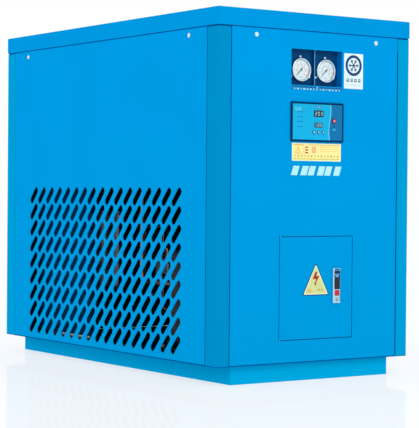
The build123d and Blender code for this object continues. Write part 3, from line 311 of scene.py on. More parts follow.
METALS = {  # colour, roughness, scale of the grain, bump, stain
    "galvanised_steel": ((0.42, 0.43, 0.45), 0.38, 90.0, 0.03, 0.8),
    "screw_chrome": ((0.78, 0.90, 0.93), 0.22, 900.0),
    "gauge_steel": ((0.80, 0.90, 0.94), 0.24, 1200.0, 0.03, 0.97),
    # lock_chrome is tinted blue and darkened: painted reflection of the blue cabinet.
    "lock_chrome": ((0.44, 0.71, 0.86), 0.16, 800.0, 0.02, 0.95),
    "pin_steel": ((0.5, 0.5, 0.52), 0.3),
    "fin_aluminium": ((0.5, 0.52, 0.54), 0.4, 200.0, 0.05, 0.7),
    "brass_fitting": ((0.62, 0.42, 0.16), 0.3),
    "copper_tube": ((0.60, 0.27, 0.15), 0.3, 300.0, 0.05, 0.6),
    "port_steel": ((0.5, 0.51, 0.53), 0.32, 400.0),
    "zinc_bright": ((0.95, 0.96, 0.97), 0.55, 200.0, 0.05, 0.95),
}
PLASTICS = {  # colour, roughness, specular, scale of the texture, bump, spread of the tone
    "dial_white": ((0.72, 0.86, 0.90), 0.5, 0.4, 500.0, 0.08, 0.02),
    "needle_black": ((0.015, 0.015, 0.015), 0.4),
    "label_film": ((0.76, 0.91, 0.95), 0.4, 0.2, 500.0, 0.08, 0.02),
    "yellow_film": ((0.64, 0.70, 0.30), 0.4, 0.15, 500.0, 0.08, 0.06),
    "cream_film": ((1.0, 0.86, 0.34), 0.4, 0.15, 500.0, 0.08, 0.05),
    "pale_film": ((0.80, 0.92, 0.62), 0.4, 0.15, 500.0, 0.08, 0.03),
    "controller_plastic": ((0.0, 0.03, 0.115), 0.5, 0.04),
    "display_window": ((0.004, 0.006, 0.018), 0.15, 0.2, 900.0, 0.01),
    "display_grey": ((0.04, 0.12, 0.18), 0.15, 0.2, 900.0, 0.01),
    "lamp_blue": ((0.015, 0.40, 0.74), 0.2, 0.4, 900.0, 0.02),
    "button_plastic": ((0.58, 0.94, 1.0), 0.35, 0.4, 500.0, 0.08, 0.03),
    "red_plastic": ((0.70, 0.012, 0.035), 0.35, 0.2, 500.0, 0.08, 0.05),
    "black_enamel": ((0.010, 0.014, 0.022), 0.32, 0.3, 350.0),
    "black_plastic": ((0.016, 0.016, 0.018), 0.42),
    "grey_plastic": ((0.30, 0.31, 0.31), 0.45),
    "compressor_black": ((0.008, 0.008, 0.009), 0.38, 0.4, 260.0, 0.15),
    "grommet_rubber": ((0.012, 0.012, 0.012), 0.7),
    "motor_paint": ((0.012, 0.012, 0.014), 0.4, 0.4, 300.0),
    "fan_plastic": ((0.012, 0.012, 0.014), 0.45),
    "foam_insulation": ((0.012, 0.012, 0.013), 0.8, 0.2, 180.0, 0.5),
}
INKS = {
    "fascia_pale": (0.28, 0.78, 0.92),
    "ink_navy": (0.006, 0.055, 0.19),
    "ink_blue": (0.0, 0.16, 0.46),
    "ink_strip": (0.0, 0.20, 0.50),
    "ink_sky": (0.28, 0.72, 0.98),
    "ink_black": (0.02, 0.02, 0.025),
    # Teal for a painted reflection on the key plug.
    "ink_teal": (0.05, 0.35, 0.30),
    "ink_slate": (0.12, 0.22, 0.30),
    "ink_grey": (0.42, 0.46, 0.48),
    "ink_red": (0.42, 0.03, 0.025),
    "ink_rose": (0.86, 0.30, 0.14),
    "ink_salmon": (0.92, 0.42, 0.22),
    "ink_pink": (0.95, 0.50, 0.55),
    "ink_orange": (0.90, 0.42, 0.08),
    "ink_olive": (0.52, 0.48, 0.10),
    "ink_white": (0.46, 0.86, 0.94),
}
MATERIALS = {
    "pocket_paint": tray_paint("pocket_paint", (0.0, 0.060, 0.20), (0.10, 0.42, 0.62), (0.0, 0.20, 0.62)),
    "clear_glass": clear_cover("clear_glass"),
    "fascia_film": graded_film("fascia_film", (0.0, 0.44, 0.80), (0.0, 0.42, 0.70)),
    "fascia_dark": graded_film("fascia_dark", (0.0, 0.165, 0.42), (0.0, 0.17, 0.39)),
}
for maker, rows in ((powder_coat, PAINTS), (metal, METALS), (moulded, PLASTICS), (ink, INKS)):
    for name, settings in rows.items():
        MATERIALS[name] = maker(name, *settings)

SPECIAL_PAINT = {
    # Base plate in painted shade: the shadow line under the panels.
    "base_plate": "base_paint",
    "electrical_door": "door_paint",
    "gauge_pocket": "pocket_paint",
    "lid": "lid_paint",
    "post_front_right": "light_post_paint",
    "post_rear_left": "light_post_paint",
    "post_rear_right": "light_post_paint",
    # Top rails in painted shade, so the gap under the lid reads dark.
    "top_cross_rails": "rail_paint",
    "top_side_rails": "rail_paint",
}


def dress_cad_nodes():
    for entry in frame["record"]["subparts"]:
        node = nodes[entry["node"]]
        node.data.materials.clear()
        node.data.materials.append(MATERIALS[SPECIAL_PAINT.get(entry["node"], entry["material_slot"])])


# ---------------- places, read from the frame

UP = Matrix(((1, 0, 0), (0, 1, 0), (0, 0, 1)))
FRONT = Matrix(((1, 0, 0), (0, 0, -1), (0, 1, 0)))
REAR = Matrix(((-1, 0, 0), (0, 0, 1), (0, 1, 0)))
LEFT = Matrix(((0, 0, -1), (-1, 0, 0), (0, 1, 0)))
RIGHT = Matrix(((0, 0, 1), (1, 0, 0), (0, 1, 0)))
WELD = 0.000002  # metres


class Box:
    """A box in millimetres, with its size, its middle and the middle of its rear face."""

    def __init__(self, points):
        self.low = Vector([min(p[i] for p in points) for i in range(3)])
        self.high = Vector([max(p[i] for p in points) for i in range(3)])
        self.middle = (self.low + self.high) / 2
        self.size = self.high - self.low
        self.rear = (self.middle.x, self.high.y, self.middle.z)


def box(node):
    return Box([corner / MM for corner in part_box(node)])


def solids(node):
    """The boxes of the separate solids in a CAD node, from the top down and from left to right."""
    mesh = bmesh.new()
    mesh.from_mesh(nodes[node].data)
    bmesh.ops.remove_doubles(mesh, verts=mesh.verts[:], dist=WELD)
    found, seen = [], set()
    for start in mesh.verts:
        if start in seen:
            continue
        seen.add(start)
        stack, group = [start], []
        while stack:
            vertex = stack.pop()
            group.append(vertex.co / MM)
            for edge in vertex.link_edges:
                other = edge.other_vert(vertex)
                if other not in seen:
                    seen.add(other)
                    stack.append(other)
        found.append(Box(group))
    mesh.free()
    return sorted(found, key=lambda solid: (-round(solid.high.z, 1), round(solid.low.x, 1)))


# ---------------- outlines, counter-clockwise

def polar(radius, angle, rise=None):
    """A point at an angle in degrees, on a circle or on an ellipse with another rise."""
    turned = math.radians(angle)
    return radius * math.cos(turned), (radius if rise is None else rise) * math.sin(turned)


def disc(radius, u=0.0, v=0.0, segments=32):
    angles = [2 * math.pi * i / segments for i in range(segments)]
    return [(u + radius * math.cos(a), v + radius * math.sin(a)) for a in angles]


def bar(width, height, u=0.0, v=0.0):
    w, h = width / 2, height / 2
    return [(u - w, v - h), (u + w, v - h), (u + w, v + h), (u - w, v + h)]


def rounded(points, radius, steps=4):
    """A closed outline through the points, with each corner turned on an arc."""
    outline = []
    for before, here, after in zip(points[-1:] + points[:-1], points, points[1:] + points[:1]):
        corner = Vector(here)
        back, ahead = (Vector(before) - corner).normalized(), (Vector(after) - corner).normalized()
        half = back.angle(ahead) / 2
        centre = corner + (back + ahead).normalized() * radius / math.sin(half)
        start = corner + back * radius / math.tan(half) - centre
        turn = (math.pi - 2 * half) * (1 if back.x * ahead.y - back.y * ahead.x < 0 else -1)
        for step in range(steps + 1):
            angle = turn * step / steps
            c, s = math.cos(angle), math.sin(angle)
            outline.append((centre.x + start.x * c - start.y * s, centre.y + start.x * s + start.y * c))
    return outline


def plate(width, height, radius, u=0.0, v=0.0):
    return rounded(bar(width, height, u, v), radius)


def spoke(angle, inner, outer, width, u=0.0, v=0.0):
    """A thin bar along a radius, at an angle in degrees."""
    c, s = polar(1, angle)
    corners = bar(outer - inner, width, (inner + outer) / 2)
    return [(u + r * c - t * s, v + r * s + t * c) for r, t in corners]


def band(inner, outer, start, end, steps=30):
    """A strip of a ring between two angles in degrees."""
    angles = [start + (end - start) * i / steps for i in range(steps + 1)]
    return [polar(outer, angle) for angle in angles] + [polar(inner, angle) for angle in reversed(angles)]


def arc(radius, rise, u, v, start, end, steps=6):
    """Points on an arc between two angles in degrees."""
    points = [polar(radius, start + (end - start) * i / steps, rise) for i in range(steps + 1)]
    return [(u + x, v + y) for x, y in points]


def threads(radius, depth, start, end, pitch):
    """A zigzag profile from one height to another."""
    count = int(abs(end - start) / pitch)
    step = (end - start) / count
    return [(radius - (depth if i % 2 else 0.0), start + step * i / 2) for i in range(2 * count + 1)]


def cross(reach, width, u=0.0, v=0.0):
    r, w = reach, width / 2
    arm = [(r, -w), (r, w), (w, w)]
    outline = []
    for _ in range(4):
        outline += arm
        arm = [(-y, x) for x, y in arm]
    return [(u + x, v + y) for x, y in outline]


def inset(outline, distance):
    """The outline moved inwards."""
    moved = []
    for before, here, after in zip(outline[-1:] + outline[:-1], outline, outline[1:] + outline[:1]):
        normals = []
        for start, end in ((before, here), (here, after)):
            along = (Vector(end) - Vector(start)).normalized()
            normals.append(Vector((-along.y, along.x)))
        total = normals[0] + normals[1]
        moved.append(tuple(Vector(here) + total * distance / (1 + normals[0].dot(normals[1]))))
    return moved


def level(outline, height):
    return [(u, v, height) for u, v in outline]


# ---------------- pieces

SHARP_ANGLE = 32.0


class Piece:
    """A mesh under construction. at() sets the local frame, whose third axis points outwards."""

    def __init__(self, name):
        self.name = name
        self.mesh = bmesh.new()
        self.materials = []
        self.at(UP, 0, 0, 0)

    def at(self, facing, x, y, z, turn=0.0):
        spin = Matrix.Rotation(math.radians(turn), 4, "Z")
        self.place = Matrix.Translation((x, y, z)) @ facing.to_4x4() @ spin
        return self

    def shift(self, height):
        """Moves the local frame along its third axis."""
        self.place = self.place @ Matrix.Translation((0, 0, height))
        return self

    def skin(self, loops, material):
        if material not in self.materials:
            self.materials.append(material)
        for loop in loops:
            face = self.mesh.faces.new(loop)
            face.material_index = self.materials.index(material)
            face.smooth = True

    def loft(self, rings, material, closed=False, caps=True):
        """Skins rings of equal length; closed joins the last ring to the first."""
        rows = [[self.mesh.verts.new(self.place @ Vector(point)) for point in ring] for ring in rings]
        count = len(rows[0])
        pairs = list(zip(rows, rows[1:])) + ([(rows[-1], rows[0])] if closed else [])
        sides = [(i, (i + 1) % count) for i in range(count)]
        loops = [(a[i], a[j], b[j], b[i]) for a, b in pairs for i, j in sides]
        if caps and not closed:
            loops += [tuple(reversed(rows[0])), tuple(rows[-1])]
        self.skin(loops, material)
        return rows

    def prism(self, outline, low, high, material, edge=0.0, holes=()):
        """A plate between two heights, with a rounded upper edge and holes right through."""
        rings = [level(outline, low)]
        for angle in (0, 30, 60, 90) if edge else (0,):
            turned = math.radians(angle)
            narrower = inset(outline, edge * (1 - math.cos(turned)))
            rings.append(level(narrower, high - edge * (1 - math.sin(turned))))
        if not holes:
            self.loft(rings, material)
            return
        rows = self.loft(rings, material, caps=False)
        walls = [self.loft([level(hole, high), level(hole, low)], material, caps=False) for hole in holes]
        for end, rim in ((0, rows[0]), (1, rows[-1])):
            loops = [rings[-end], *[level(hole, 0) for hole in holes]]
            flat = [[Vector((p[0], p[1], 0)) for p in loop] for loop in loops]
            corners = rim + [vertex for wall in walls for vertex in wall[1 - end]]
            self.skin([tuple(corners[i] for i in three) for three in tessellate_polygon(flat)], material)

    def lathe(self, profile, material, segments=40, closed=False):
        """Turns (radius, height) pairs, listed from the back to the front."""
        rings = [level(disc(radius, segments=segments), height) for radius, height in profile]
        self.loft(rings, material, closed)

    def hoop(self, radius, wire, height, material, segments=40):
        """A ring of round wire."""
        section = disc(wire, segments=10)
        rings = []
        for u, v in disc(1.0, segments=segments):
            rings.append([((radius + x) * u, (radius + x) * v, height + y) for x, y in section])
        self.loft(rings, material, closed=True)

    def tube(self, points, radius, material, segments=12):
        """A round tube along points, with sections kept from twisting."""
        rings, normal = [], None
        section = disc(radius, segments=segments)
        for index, point in enumerate(points):
            ahead, behind = points[min(index + 1, len(points) - 1)], points[max(index - 1, 0)]
            tangent = (Vector(ahead) - Vector(behind)).normalized()
            normal = normal or tangent.orthogonal()
            normal = (normal - tangent * normal.dot(tangent)).normalized()
            side = tangent.cross(normal)
            rings.append([Vector(point) + normal * x + side * y for x, y in section])
        self.loft(rings, material)

    def screw(self, radius, height, material, u=0.0, v=0.0):
        """A low domed head with a cross recess."""
        head = disc(radius, u, v, 28)
        recess = cross(radius * 0.5, radius * 0.2, u, v)
        self.prism(head, 0, height * 0.35, material)
        self.prism(head, height * 0.35, height, material, height * 0.5, [recess])

    def number(self, words, size, u, v, height, material):
        """A printed number, centred on a point."""
        curve = bpy.data.curves.new("number", "FONT")
        curve.body = words
        curve.size = size
        curve.extrude = 0.02
        curve.resolution_u = 2
        curve.align_x, curve.align_y = "CENTER", "CENTER"
        holder = bpy.data.objects.new("number", curve)
        flat = holder.to_mesh()
        corners = [self.mesh.verts.new(self.place @ (p.co + Vector((u, v, height)))) for p in flat.vertices]
        self.skin([tuple(corners[i] for i in polygon.vertices) for polygon in flat.polygons], material)
        holder.to_mesh_clear()
        bpy.data.objects.remove(holder)
        bpy.data.curves.remove(curve)

    def digit(self, figure, width, height, u, v, low, high, material):
        """One seven-segment figure."""
        lit = {"0": "abcdef", "1": "bc", "2": "abdeg", "3": "abcdg", "5": "acdfg", "8": "abcdefg"}[figure]
        w, h, thick = width / 2, height / 2, width * 0.26
        long_bar, tall_bar = width - thick, h - thick * 0.6
        strokes = {}
        for stroke, rise in (("a", h), ("d", -h), ("g", 0)):
            strokes[stroke] = bar(long_bar, thick, u, v + rise)
        for stroke, side, rise in (("b", w, h / 2), ("c", w, -h / 2), ("f", -w, h / 2), ("e", -w, -h / 2)):
            strokes[stroke] = bar(thick, tall_bar, u + side, v + rise)
        for stroke in lit:
            self.prism(strokes[stroke], low, high, material)

    def finish(self, body, slot, *replaced):
        bmesh.ops.recalc_face_normals(self.mesh, faces=self.mesh.faces[:])
        bmesh.ops.scale(self.mesh, vec=(MM, MM, MM), verts=self.mesh.verts[:])
        data = bpy.data.meshes.new(self.name)
        self.mesh.to_mesh(data)
        self.mesh.free()
        data.set_sharp_from_angle(angle=math.radians(SHARP_ANGLE))
        for material in self.materials:
            data.materials.append(MATERIALS[material])
        piece = bpy.data.objects.new(self.name, data)
        link(piece)
        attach(piece, body)
        if replaced:
            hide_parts(*replaced)


# ---------------- gauges

ZERO_ANGLE = 225.0
DIAL_SWEEP = 270.0


def build_gauges():
    """Two panel gauges: turned cases with a rim, printed dials and domed glasses."""
    seat = box("gauge_screws").high.y
    cases = solids("gauge_cases")
    rim = cases[0].size.z / 2
    front = seat - cases[0].low.y
    floor = front - 5.5
    face = seat - box("left_gauge_needle").high.y - 0.4
    rims, dials, glasses = Piece("gauge_rims"), Piece("printed_dials"), Piece("gauge_glasses")
    for case, right in zip(cases, (False, True)):
        centre = (case.middle.x, seat, case.middle.z)
        rims.at(FRONT, *centre)
        bezel = [(0, 2.6), (0.4, 1.1), (1.3, 0.2), (2.1, 0), (2.8, 0.3), (3.3, 1.2)]
        profile = [(6, -30), (25.5, -30), (27, -28.5), (27, 0), (rim - 1.4, 0), (rim, 1.2)]
        profile += [(rim - inwards, front - down) for inwards, down in bezel]
        rims.lathe([*profile, (rim - 3.4, floor), (6, floor)], "gauge_steel", 64)
        dials.at(FRONT, *centre)
        edge = rim - 3.6
        dials.lathe([(0.9, floor), (edge, floor), (edge, face), (0.9, face + 0.01)], "dial_white", 64)
        draw_scale(dials, face, right)
        glasses.at(FRONT, *centre)
        glass = seat - box("gauge_lenses").high.y
        dome = arc(rim - 3.7, 0.9, 0, glass + 0.3, 0, 80, 4)
        glasses.lathe([(0.3, glass), (rim - 3.7, glass), *dome], "clear_glass", 64)
    rims.finish("root", "gauge_steel", "gauge_cases")
    dials.finish("root", "dial_white", "gauge_dials")
    glasses.finish("root", "clear_glass", "gauge_lenses")


def draw_scale(dial, face, right):
    """A 270 degree scale with numbers, a grey ring and, on the refrigerant gauge, a red inner scale."""
    print_top = face + 0.05
    divisions, unit = (8, 2) if right else (6, 5)
    for tick in range(divisions * 5 + 1):
        angle = ZERO_ANGLE - DIAL_SWEEP * tick / (divisions * 5)
        main = tick % 5 == 0
        inner, width = (21.2, 0.7) if main else (23.0, 0.35)
        dial.prism(spoke(angle, inner, 25.4, width), face, print_top, "ink_black")
        if main:
            dial.number(str(tick // 5 * unit), 3.9, *polar(17.2, angle), face + 0.03, "ink_black")
    dial.prism(disc(27.2, segments=64), face, print_top, "ink_slate", 0.0, [disc(26.2, segments=64)])
    dial.prism(band(25.4, 25.9, ZERO_ANGLE - DIAL_SWEEP, ZERO_ANGLE), face, print_top, "ink_slate")
    inner_ink = "ink_slate" if right else "ink_rose"
    dial.prism(band(12.2, 13.3, ZERO_ANGLE - DIAL_SWEEP, ZERO_ANGLE), face, print_top, inner_ink)
    for tick in range(divisions + 1):
        angle = ZERO_ANGLE - DIAL_SWEEP * tick / divisions
        dial.prism(spoke(angle, 11.2, 12.5, 0.5), face, print_top, inner_ink)
    dial.prism(band(23.2, 25.2, -45, -5, 10), face, face + 0.03, "ink_rose")
    dial.prism(plate(9, 2.2, 0.8, 0, -19), face, print_top, "ink_grey")


def build_needles():
    seat = box("gauge_screws").high.y
    for case, side in zip(solids("gauge_cases"), ("left", "right")):
        needle = box(f"{side}_gauge_needle")
        low, high = seat - needle.high.y, seat - needle.low.y
        pointer = Piece(f"{side}_pointer").at(FRONT, case.middle.x, seat, case.middle.z, turn=ZERO_ANGLE)
        blade = [(-8, -1.5), (0, -1.2), (14, -0.8), (20.9, -0.15)]
        blade += [(u, -v) for u, v in reversed(blade)]
        pointer.prism(blade, low, low + 0.5, "needle_black", 0.1)
        boss = [(1.06, low + 0.3), (3.0, low + 0.3), (3.0, high - 0.3), (2.5, high), (1.06, high)]
        pointer.lathe(boss, "needle_black")
        pointer.finish(f"{side}_needle", "needle_black", f"{side}_gauge_needle")


def build_small_screws():
    screws = Piece("gauge_flange_screws")
    for solid in solids("gauge_screws"):
        screws.at(FRONT, *solid.rear)
        screws.screw(solid.size.x / 2, solid.size.y, "screw_chrome")
    screws.finish("root", "screw_chrome", "gauge_screws")
    heads = Piece("panel_screw_heads")
    face = box("front_panel").low.y
    side = box("left_grille_panel").low.x
    for solid in solids("panel_screws"):
        x, y, z = solid.middle
        if solid.high.x > -side or solid.low.x < side:
            heads.at(LEFT if x < 0 else RIGHT, math.copysign(side, x), y, z)
        else:
            heads.at(FRONT if y < 0 else REAR, x, math.copysign(face, y), z)
        heads.prism(disc(solid.size.z / 2, segments=32), 0, 0.5, "screw_chrome")
        heads.shift(0.5).screw(solid.size.z / 2 - 0.8, 1.5, "screw_chrome")
        heads.shift(-12.5).prism(disc(3.0, segments=16), 0, 12, "screw_chrome")
    heads.finish("root", "screw_chrome", "panel_screws")


def build_seam_strips():
    """Dark strips behind the upright seams, pads on the posts, and a thin line at the front right seam, all
    painted shade for the gaps.
    """
    strips = Piece("seam_strips")
    post, panel, side = box("post_front_right"), box("front_panel"), box("right_grille_panel")
    low, high = panel.low.z + 2, box("top_cross_rails").low.z - 1
    top, lid = post.high.z, box("lid").low.z
    for x_sign in (-1, 1):
        for y_sign in (-1, 1):
            across = bar(7.0, 2.6, x_sign * (post.low.x - 3.7), y_sign * (-panel.high.y - 1.5))
            along = bar(2.6, 7.0, x_sign * (side.low.x - 1.5), y_sign * (-post.high.y - 3.7))
            pad = plate(post.size.x - 3, post.size.y - 3, 2, x_sign * post.middle.x, y_sign * post.middle.y)
            for outline, start, end in ((across, low, high), (along, low, high), (pad, top, lid)):
                strips.prism(outline, start, end, "rail_paint", 0.4)
    # A thin proud dark line on the front right seam: a painted shadow line.
    strips.at(FRONT, post.low.x - 0.8, panel.low.y, 0)
    strips.prism(bar(3.6, high - low, 0, (high + low) / 2), 0, 0.3, "rail_paint", 0.1)
    strips.finish("root", "grommet_rubber")


# ---------------- labels

def build_labels():
    """Generic prints: a strip of marks, a plate with a snowflake, a warning label and slanted bars."""
    plate_box, strip, warning, *bars = solids("panel_labels")
    labels = Piece("printed_labels")
    thick = plate_box.size.y

    labels.at(FRONT, *strip.rear)
    labels.prism(bar(strip.size.x, strip.size.z), 0, thick, "ink_strip", 0.1)
    for gauge in (-1, 1):
        for mark, width in enumerate((4, 7, 3, 8, 5, 6, 4)):
            place = gauge * strip.size.x / 4 - 31 + mark * 10.4
            labels.prism(plate(width, 4.2, 0.8, place, -2.2), thick, thick + 0.05, "ink_sky")
            labels.prism(bar(width + 1.6, 2.8, place + 1, 2.8), thick, thick + 0.05, "ink_navy")
    labels.prism(bar(2.6, strip.size.z, 0, 0), thick, thick + 0.06, "ink_sky")

    width = plate_box.size.x - 13
    labels.at(FRONT, plate_box.low.x + width / 2, plate_box.high.y, plate_box.middle.z)
    labels.prism(plate(width, plate_box.size.z, 1.5), 0, thick, "label_film", 0.15)
    draw_snowflake(labels, thick, 0, 15)
    for mark in range(4):
        u = 13 * (mark - 1.5)
        labels.prism(plate(8.5, 9, 0.8, u, -24), thick, thick + 0.05, "ink_slate", 0.0, [bar(4, 3, u, -23)])
        labels.prism(bar(9, 1.4, u, -36), thick, thick + 0.04, "ink_grey")

    labels.at(FRONT, *warning.rear)
    width, height = warning.size.x, warning.size.z
    labels.prism(plate(width, height, 1.5), 0, thick, "pale_film", 0.15)
    top, print_top = thick + 0.03, thick + 0.09
    labels.prism(plate(width - 4.5, height - 4.5, 1.0), thick - 0.1, top, "cream_film")
    labels.prism(bar(34, 2.6, -59, height / 2 - 4.6), top, print_top, "ink_orange")
    labels.prism(bar(102, 1.6, 24, height / 2 - 4.2), top, print_top, "ink_orange")
    sign = [(-72, -4), (-50, -4), (-61, 14.5)]
    labels.prism(rounded(sign, 1.6), top, print_top, "ink_orange", 0.0, [inset(sign, 1.7)])
    labels.prism(plate(2.0, 7.0, 0.8, -61, 5.2), top, print_top, "ink_orange")
    labels.prism(disc(1.2, -61, -1.0, 12), top, print_top, "ink_orange")
    for row in range(3):
        labels.prism(plate(9.5, 3.4, 1.2, -33, 12.5 - 7.0 * row), top, print_top, "ink_red")
        labels.prism(plate(4.5, 2.0, 0.8, -42, 9.0 - 7.0 * row), top, print_top, "ink_rose")
        labels.prism(bar(58, 0.8, 40, 13 - 5 * row), top, print_top - 0.02, "ink_orange")
    labels.prism(plate(13, 17, 3.0, -9, 6), top, print_top, "ink_salmon", 0.0, [plate(2.2, 9, 1.0, -9, 6)])
    for mark in range(14):
        u, tall = -70.5 + 10.8 * mark, (5.2, 6.4, 5.8, 6.4, 4.8)[mark % 5]
        hole = bar(1.4, tall * 0.35, u, -9.6)
        labels.prism(plate(3.6 + mark % 3, tall, 0.8, u, -10.2), top, print_top, "ink_olive", 0.0, [hole])
    for mark in range(12):
        labels.prism(bar(11.2, 2.0, -70 + 12.7 * mark, -17.8), top, print_top, "ink_olive")

    for solid in bars:
        labels.at(FRONT, *solid.rear)
        reach, h, slant = solid.size.x / 2, solid.size.z / 2, 8.0
        width = reach - 7.0
        for left in (-reach, 3.0):
            slanted = [(left, -h), (left + width, -h), (left + width + slant, h), (left + slant, h)]
            shadow = [(min(u + 1.0, reach), max(v - 1.2, -h)) for u, v in slanted]
            labels.prism(shadow, 0, thick * 0.4, "ink_navy")
            labels.prism(slanted, 0, thick, "ink_white", 0.1)
    labels.finish("root", "label_film", "panel_labels")


def draw_snowflake(label, base, u, v):
    """A generic cold sign: a heavy ring round a six-armed snowflake."""
    label.prism(disc(27.5, u, v, 56), base, base + 0.06, "ink_navy", 0.0, [disc(20.0, u, v, 48)])
    for arm in range(6):
        angle = 60 * arm
        x, y = polar(10.0, angle)
        label.prism(spoke(angle, 1.5, 17.5, 2.8, u, v), base, base + 0.06 + 0.004 * arm, "ink_navy")
        for lean in (-50, 50):
            side_arm = spoke(angle + lean, 0, 6.0, 2.2, u + x, v + y)
            label.prism(side_arm, base, base + 0.04 + lean * 0.0002, "ink_navy")
    label.prism(disc(3.0, u, v, 6), base, base + 0.09, "ink_navy")


def build_hazard_triangle():
    sign = box("hazard_triangle")
    label = Piece("hazard_sign").at(FRONT, sign.middle.x, sign.high.y, sign.low.z)
    thick = sign.size.y
    corners = [(-42, 0), (42, 0), (0, 81)]
    # A dark navy outline round the label: a painted shadow of its edge.
    label.prism(rounded(inset(corners, -1.5), 2.4), 0, thick * 0.5, "ink_navy")
    label.prism(rounded(inset(corners, 1.0), 1.6), 0, thick, "pale_film")
    label.prism(rounded(inset(corners, 3.8), 1.2), thick - 0.1, thick + 0.04, "yellow_film")
    low, top = thick + 0.04, thick + 0.1
    flash = [(4.5, 60), (-1.5, 60), (-10.5, 40.5), (0.5, 41.4), (-1.6, 32), (-5.0, 32), (-2.2, 22),
             (2.8, 32), (1.0, 32), (12.0, 49.5), (1.8, 48.0)]
    label.prism(flash, low, top, "ink_red")
    hole = plate(3.5, 2.2, 0.6, -20, 11.5)
    label.prism(plate(11, 7, 1.6, -20, 11.5), low, top, "ink_orange", 0.0, [hole])
    for u in (10.5, 20.5):
        label.prism(plate(6, 6.5, 1.2, u, 12.5), low, top, "ink_olive")
    label.finish("door", "yellow_film", "hazard_triangle")


# ---------------- controller

WAVE_PLACE, WAVE_DEPTH, WAVE_STEPS = 39.7, 3.4, 16


def build_controller():
    """Dark frame, two-tone fascia with a wave, two displays, lamps and push buttons."""
    housing = box("controller_housing")
    face = box("front_panel").low.y
    fascia = box("controller_fascia")
    windows = solids("controller_displays")
    centre = (housing.middle.x, face, housing.middle.z)
    back, front = face - fascia.high.y, face - fascia.low.y
    proud = face - housing.low.y
    buttons = {name: box(name) for name in ("set_button", "down_button", "up_button", "power_button")}
    wells = []
    for button in buttons.values():
        u, v = button.middle.x - centre[0], button.middle.z - centre[2]
        wells.append(disc(button.size.x / 2 + 0.4, u, v, 28))

    shell = Piece("controller_case").at(FRONT, *centre)
    outer = plate(housing.size.x, housing.size.z, 3.0)
    opening = bar(fascia.size.x + 0.4, fascia.size.z + 0.4)
    shell.prism(outer, 0, back, "controller_plastic", 0.0, wells)
    shell.prism(outer, back, proud, "controller_plastic", 0.9, [opening])
    body = bar(158, 88)
    shell.prism(body, -5, 0, "controller_plastic", 0.0, wells)
    shell.prism(body, -40, -5, "controller_plastic")
    shell.finish("root", "controller_plastic", "controller_housing")

    reach, top = fascia.size.x / 2, fascia.size.z / 2
    wave = []
    for step in range(WAVE_STEPS + 1):
        rise = step / WAVE_STEPS
        swing = math.cos(2 * math.pi * 0.85 * (0.85 - rise))
        wave.append((WAVE_PLACE + WAVE_DEPTH * swing, top * (2 * rise - 1)))
    edge = [(u + 1.5, v) for u, v in wave]
    film = Piece("controller_film").at(FRONT, *centre)
    film.prism([(-reach, -top), *wave, (-reach, top)], back, front, "fascia_film", 0.0, wells[:3])
    film.prism([(reach, top), *reversed(edge), (reach, -top)], back, front, "fascia_dark", 0.0, wells[3:])
    film.prism([*reversed(wave), *edge], back, front + 0.02, "fascia_pale")
    displays = [window for window in windows if window.size.x > 20]
    lamps = [window for window in windows if window.size.x < 5]
    lens = [window for window in windows if 5 < window.size.x < 12][0]
    draw_fascia_marks(film, front, displays[0], lamps, lens, centre)
    film.finish("root", "fascia_film", "controller_fascia")

    build_displays(displays, lamps, lens, centre, front)
    for name, button in buttons.items():
        build_button(name, button)


def draw_fascia_marks(film, front, display, lamps, lens, centre):
    """Short generic bars where a panel carries its captions."""
    top = front + 0.05
    u, v = display.middle.x - centre[0], display.high.z - centre[2] + 8.5
    film.prism(bar(26, 5.4, u - 2, v), front, top, "ink_blue")
    for mark, width in enumerate((5, 4, 6, 4)):
        film.prism(bar(width * 0.8, 2.0, u - 11.5 + 6.4 * mark, v), top, top + 0.04, "fascia_pale")
    for lamp in lamps:
        u, v = lamp.middle.x - centre[0] - 10, lamp.middle.z - centre[2]
        film.prism(bar(9, 2.2, u, v), front, top, "ink_strip")
    for row in range(4):
        film.prism(bar(22, 0.5, -64, 36 - 2.2 * row), front, top, "fascia_pale")
    u, v = lens.middle.x - centre[0], lens.high.z - centre[2] + 5.0
    film.prism([(u - 4, v - 2.4), (u + 4, v - 2.4), (u, v + 2.6)], front, top, "ink_navy")
    for button_u in (-15.3, 0.0, 15.3):
        film.prism(bar(7, 1.2, button_u + 2.4, -34.5), front, top, "ink_strip")


def build_displays(displays, lamps, lens, centre, front):
    """Two windows with three figures each, four signal lamps and the power lamp."""
    shown = Piece("display_panes").at(FRONT, *centre)
    low = front - 1.0
    shows = (("display_window", "203", "ink_white"), ("display_grey", "125", "fascia_pale"))
    for window, (pane, figures, lit) in zip(displays, shows):
        u, v = window.middle.x - centre[0], window.middle.z - centre[2]
        width, height, high = window.size.x, window.size.z, centre[1] - window.low.y
        shown.prism(plate(width, height, 1.0, u, v), low, high, pane, 0.25)
        for place, figure in enumerate(figures):
            digit_u = u + (place - 1) * width * 0.29
            shown.digit(figure, width * 0.16, height * 0.52, digit_u, v, high, high + 0.05, lit)
    for lamp, colour in zip(lamps, ("ink_navy", "ink_navy", "ink_navy", "ink_blue")):
        shown.at(FRONT, lamp.middle.x, centre[1], lamp.middle.z)
        r, high = lamp.size.x / 2, centre[1] - lamp.low.y
        profile = [(0.2, low), (r, low), (r, high - 0.4), (r * 0.8, high - 0.12), (0.3, high)]
        shown.lathe(profile, colour, 20)
    shown.at(FRONT, lens.middle.x, centre[1], lens.middle.z)
    shown.prism(plate(lens.size.x, lens.size.z, 1.8), low, centre[1] - lens.low.y, "lamp_blue", 0.35)
    shown.finish("root", "display_window", "controller_displays")


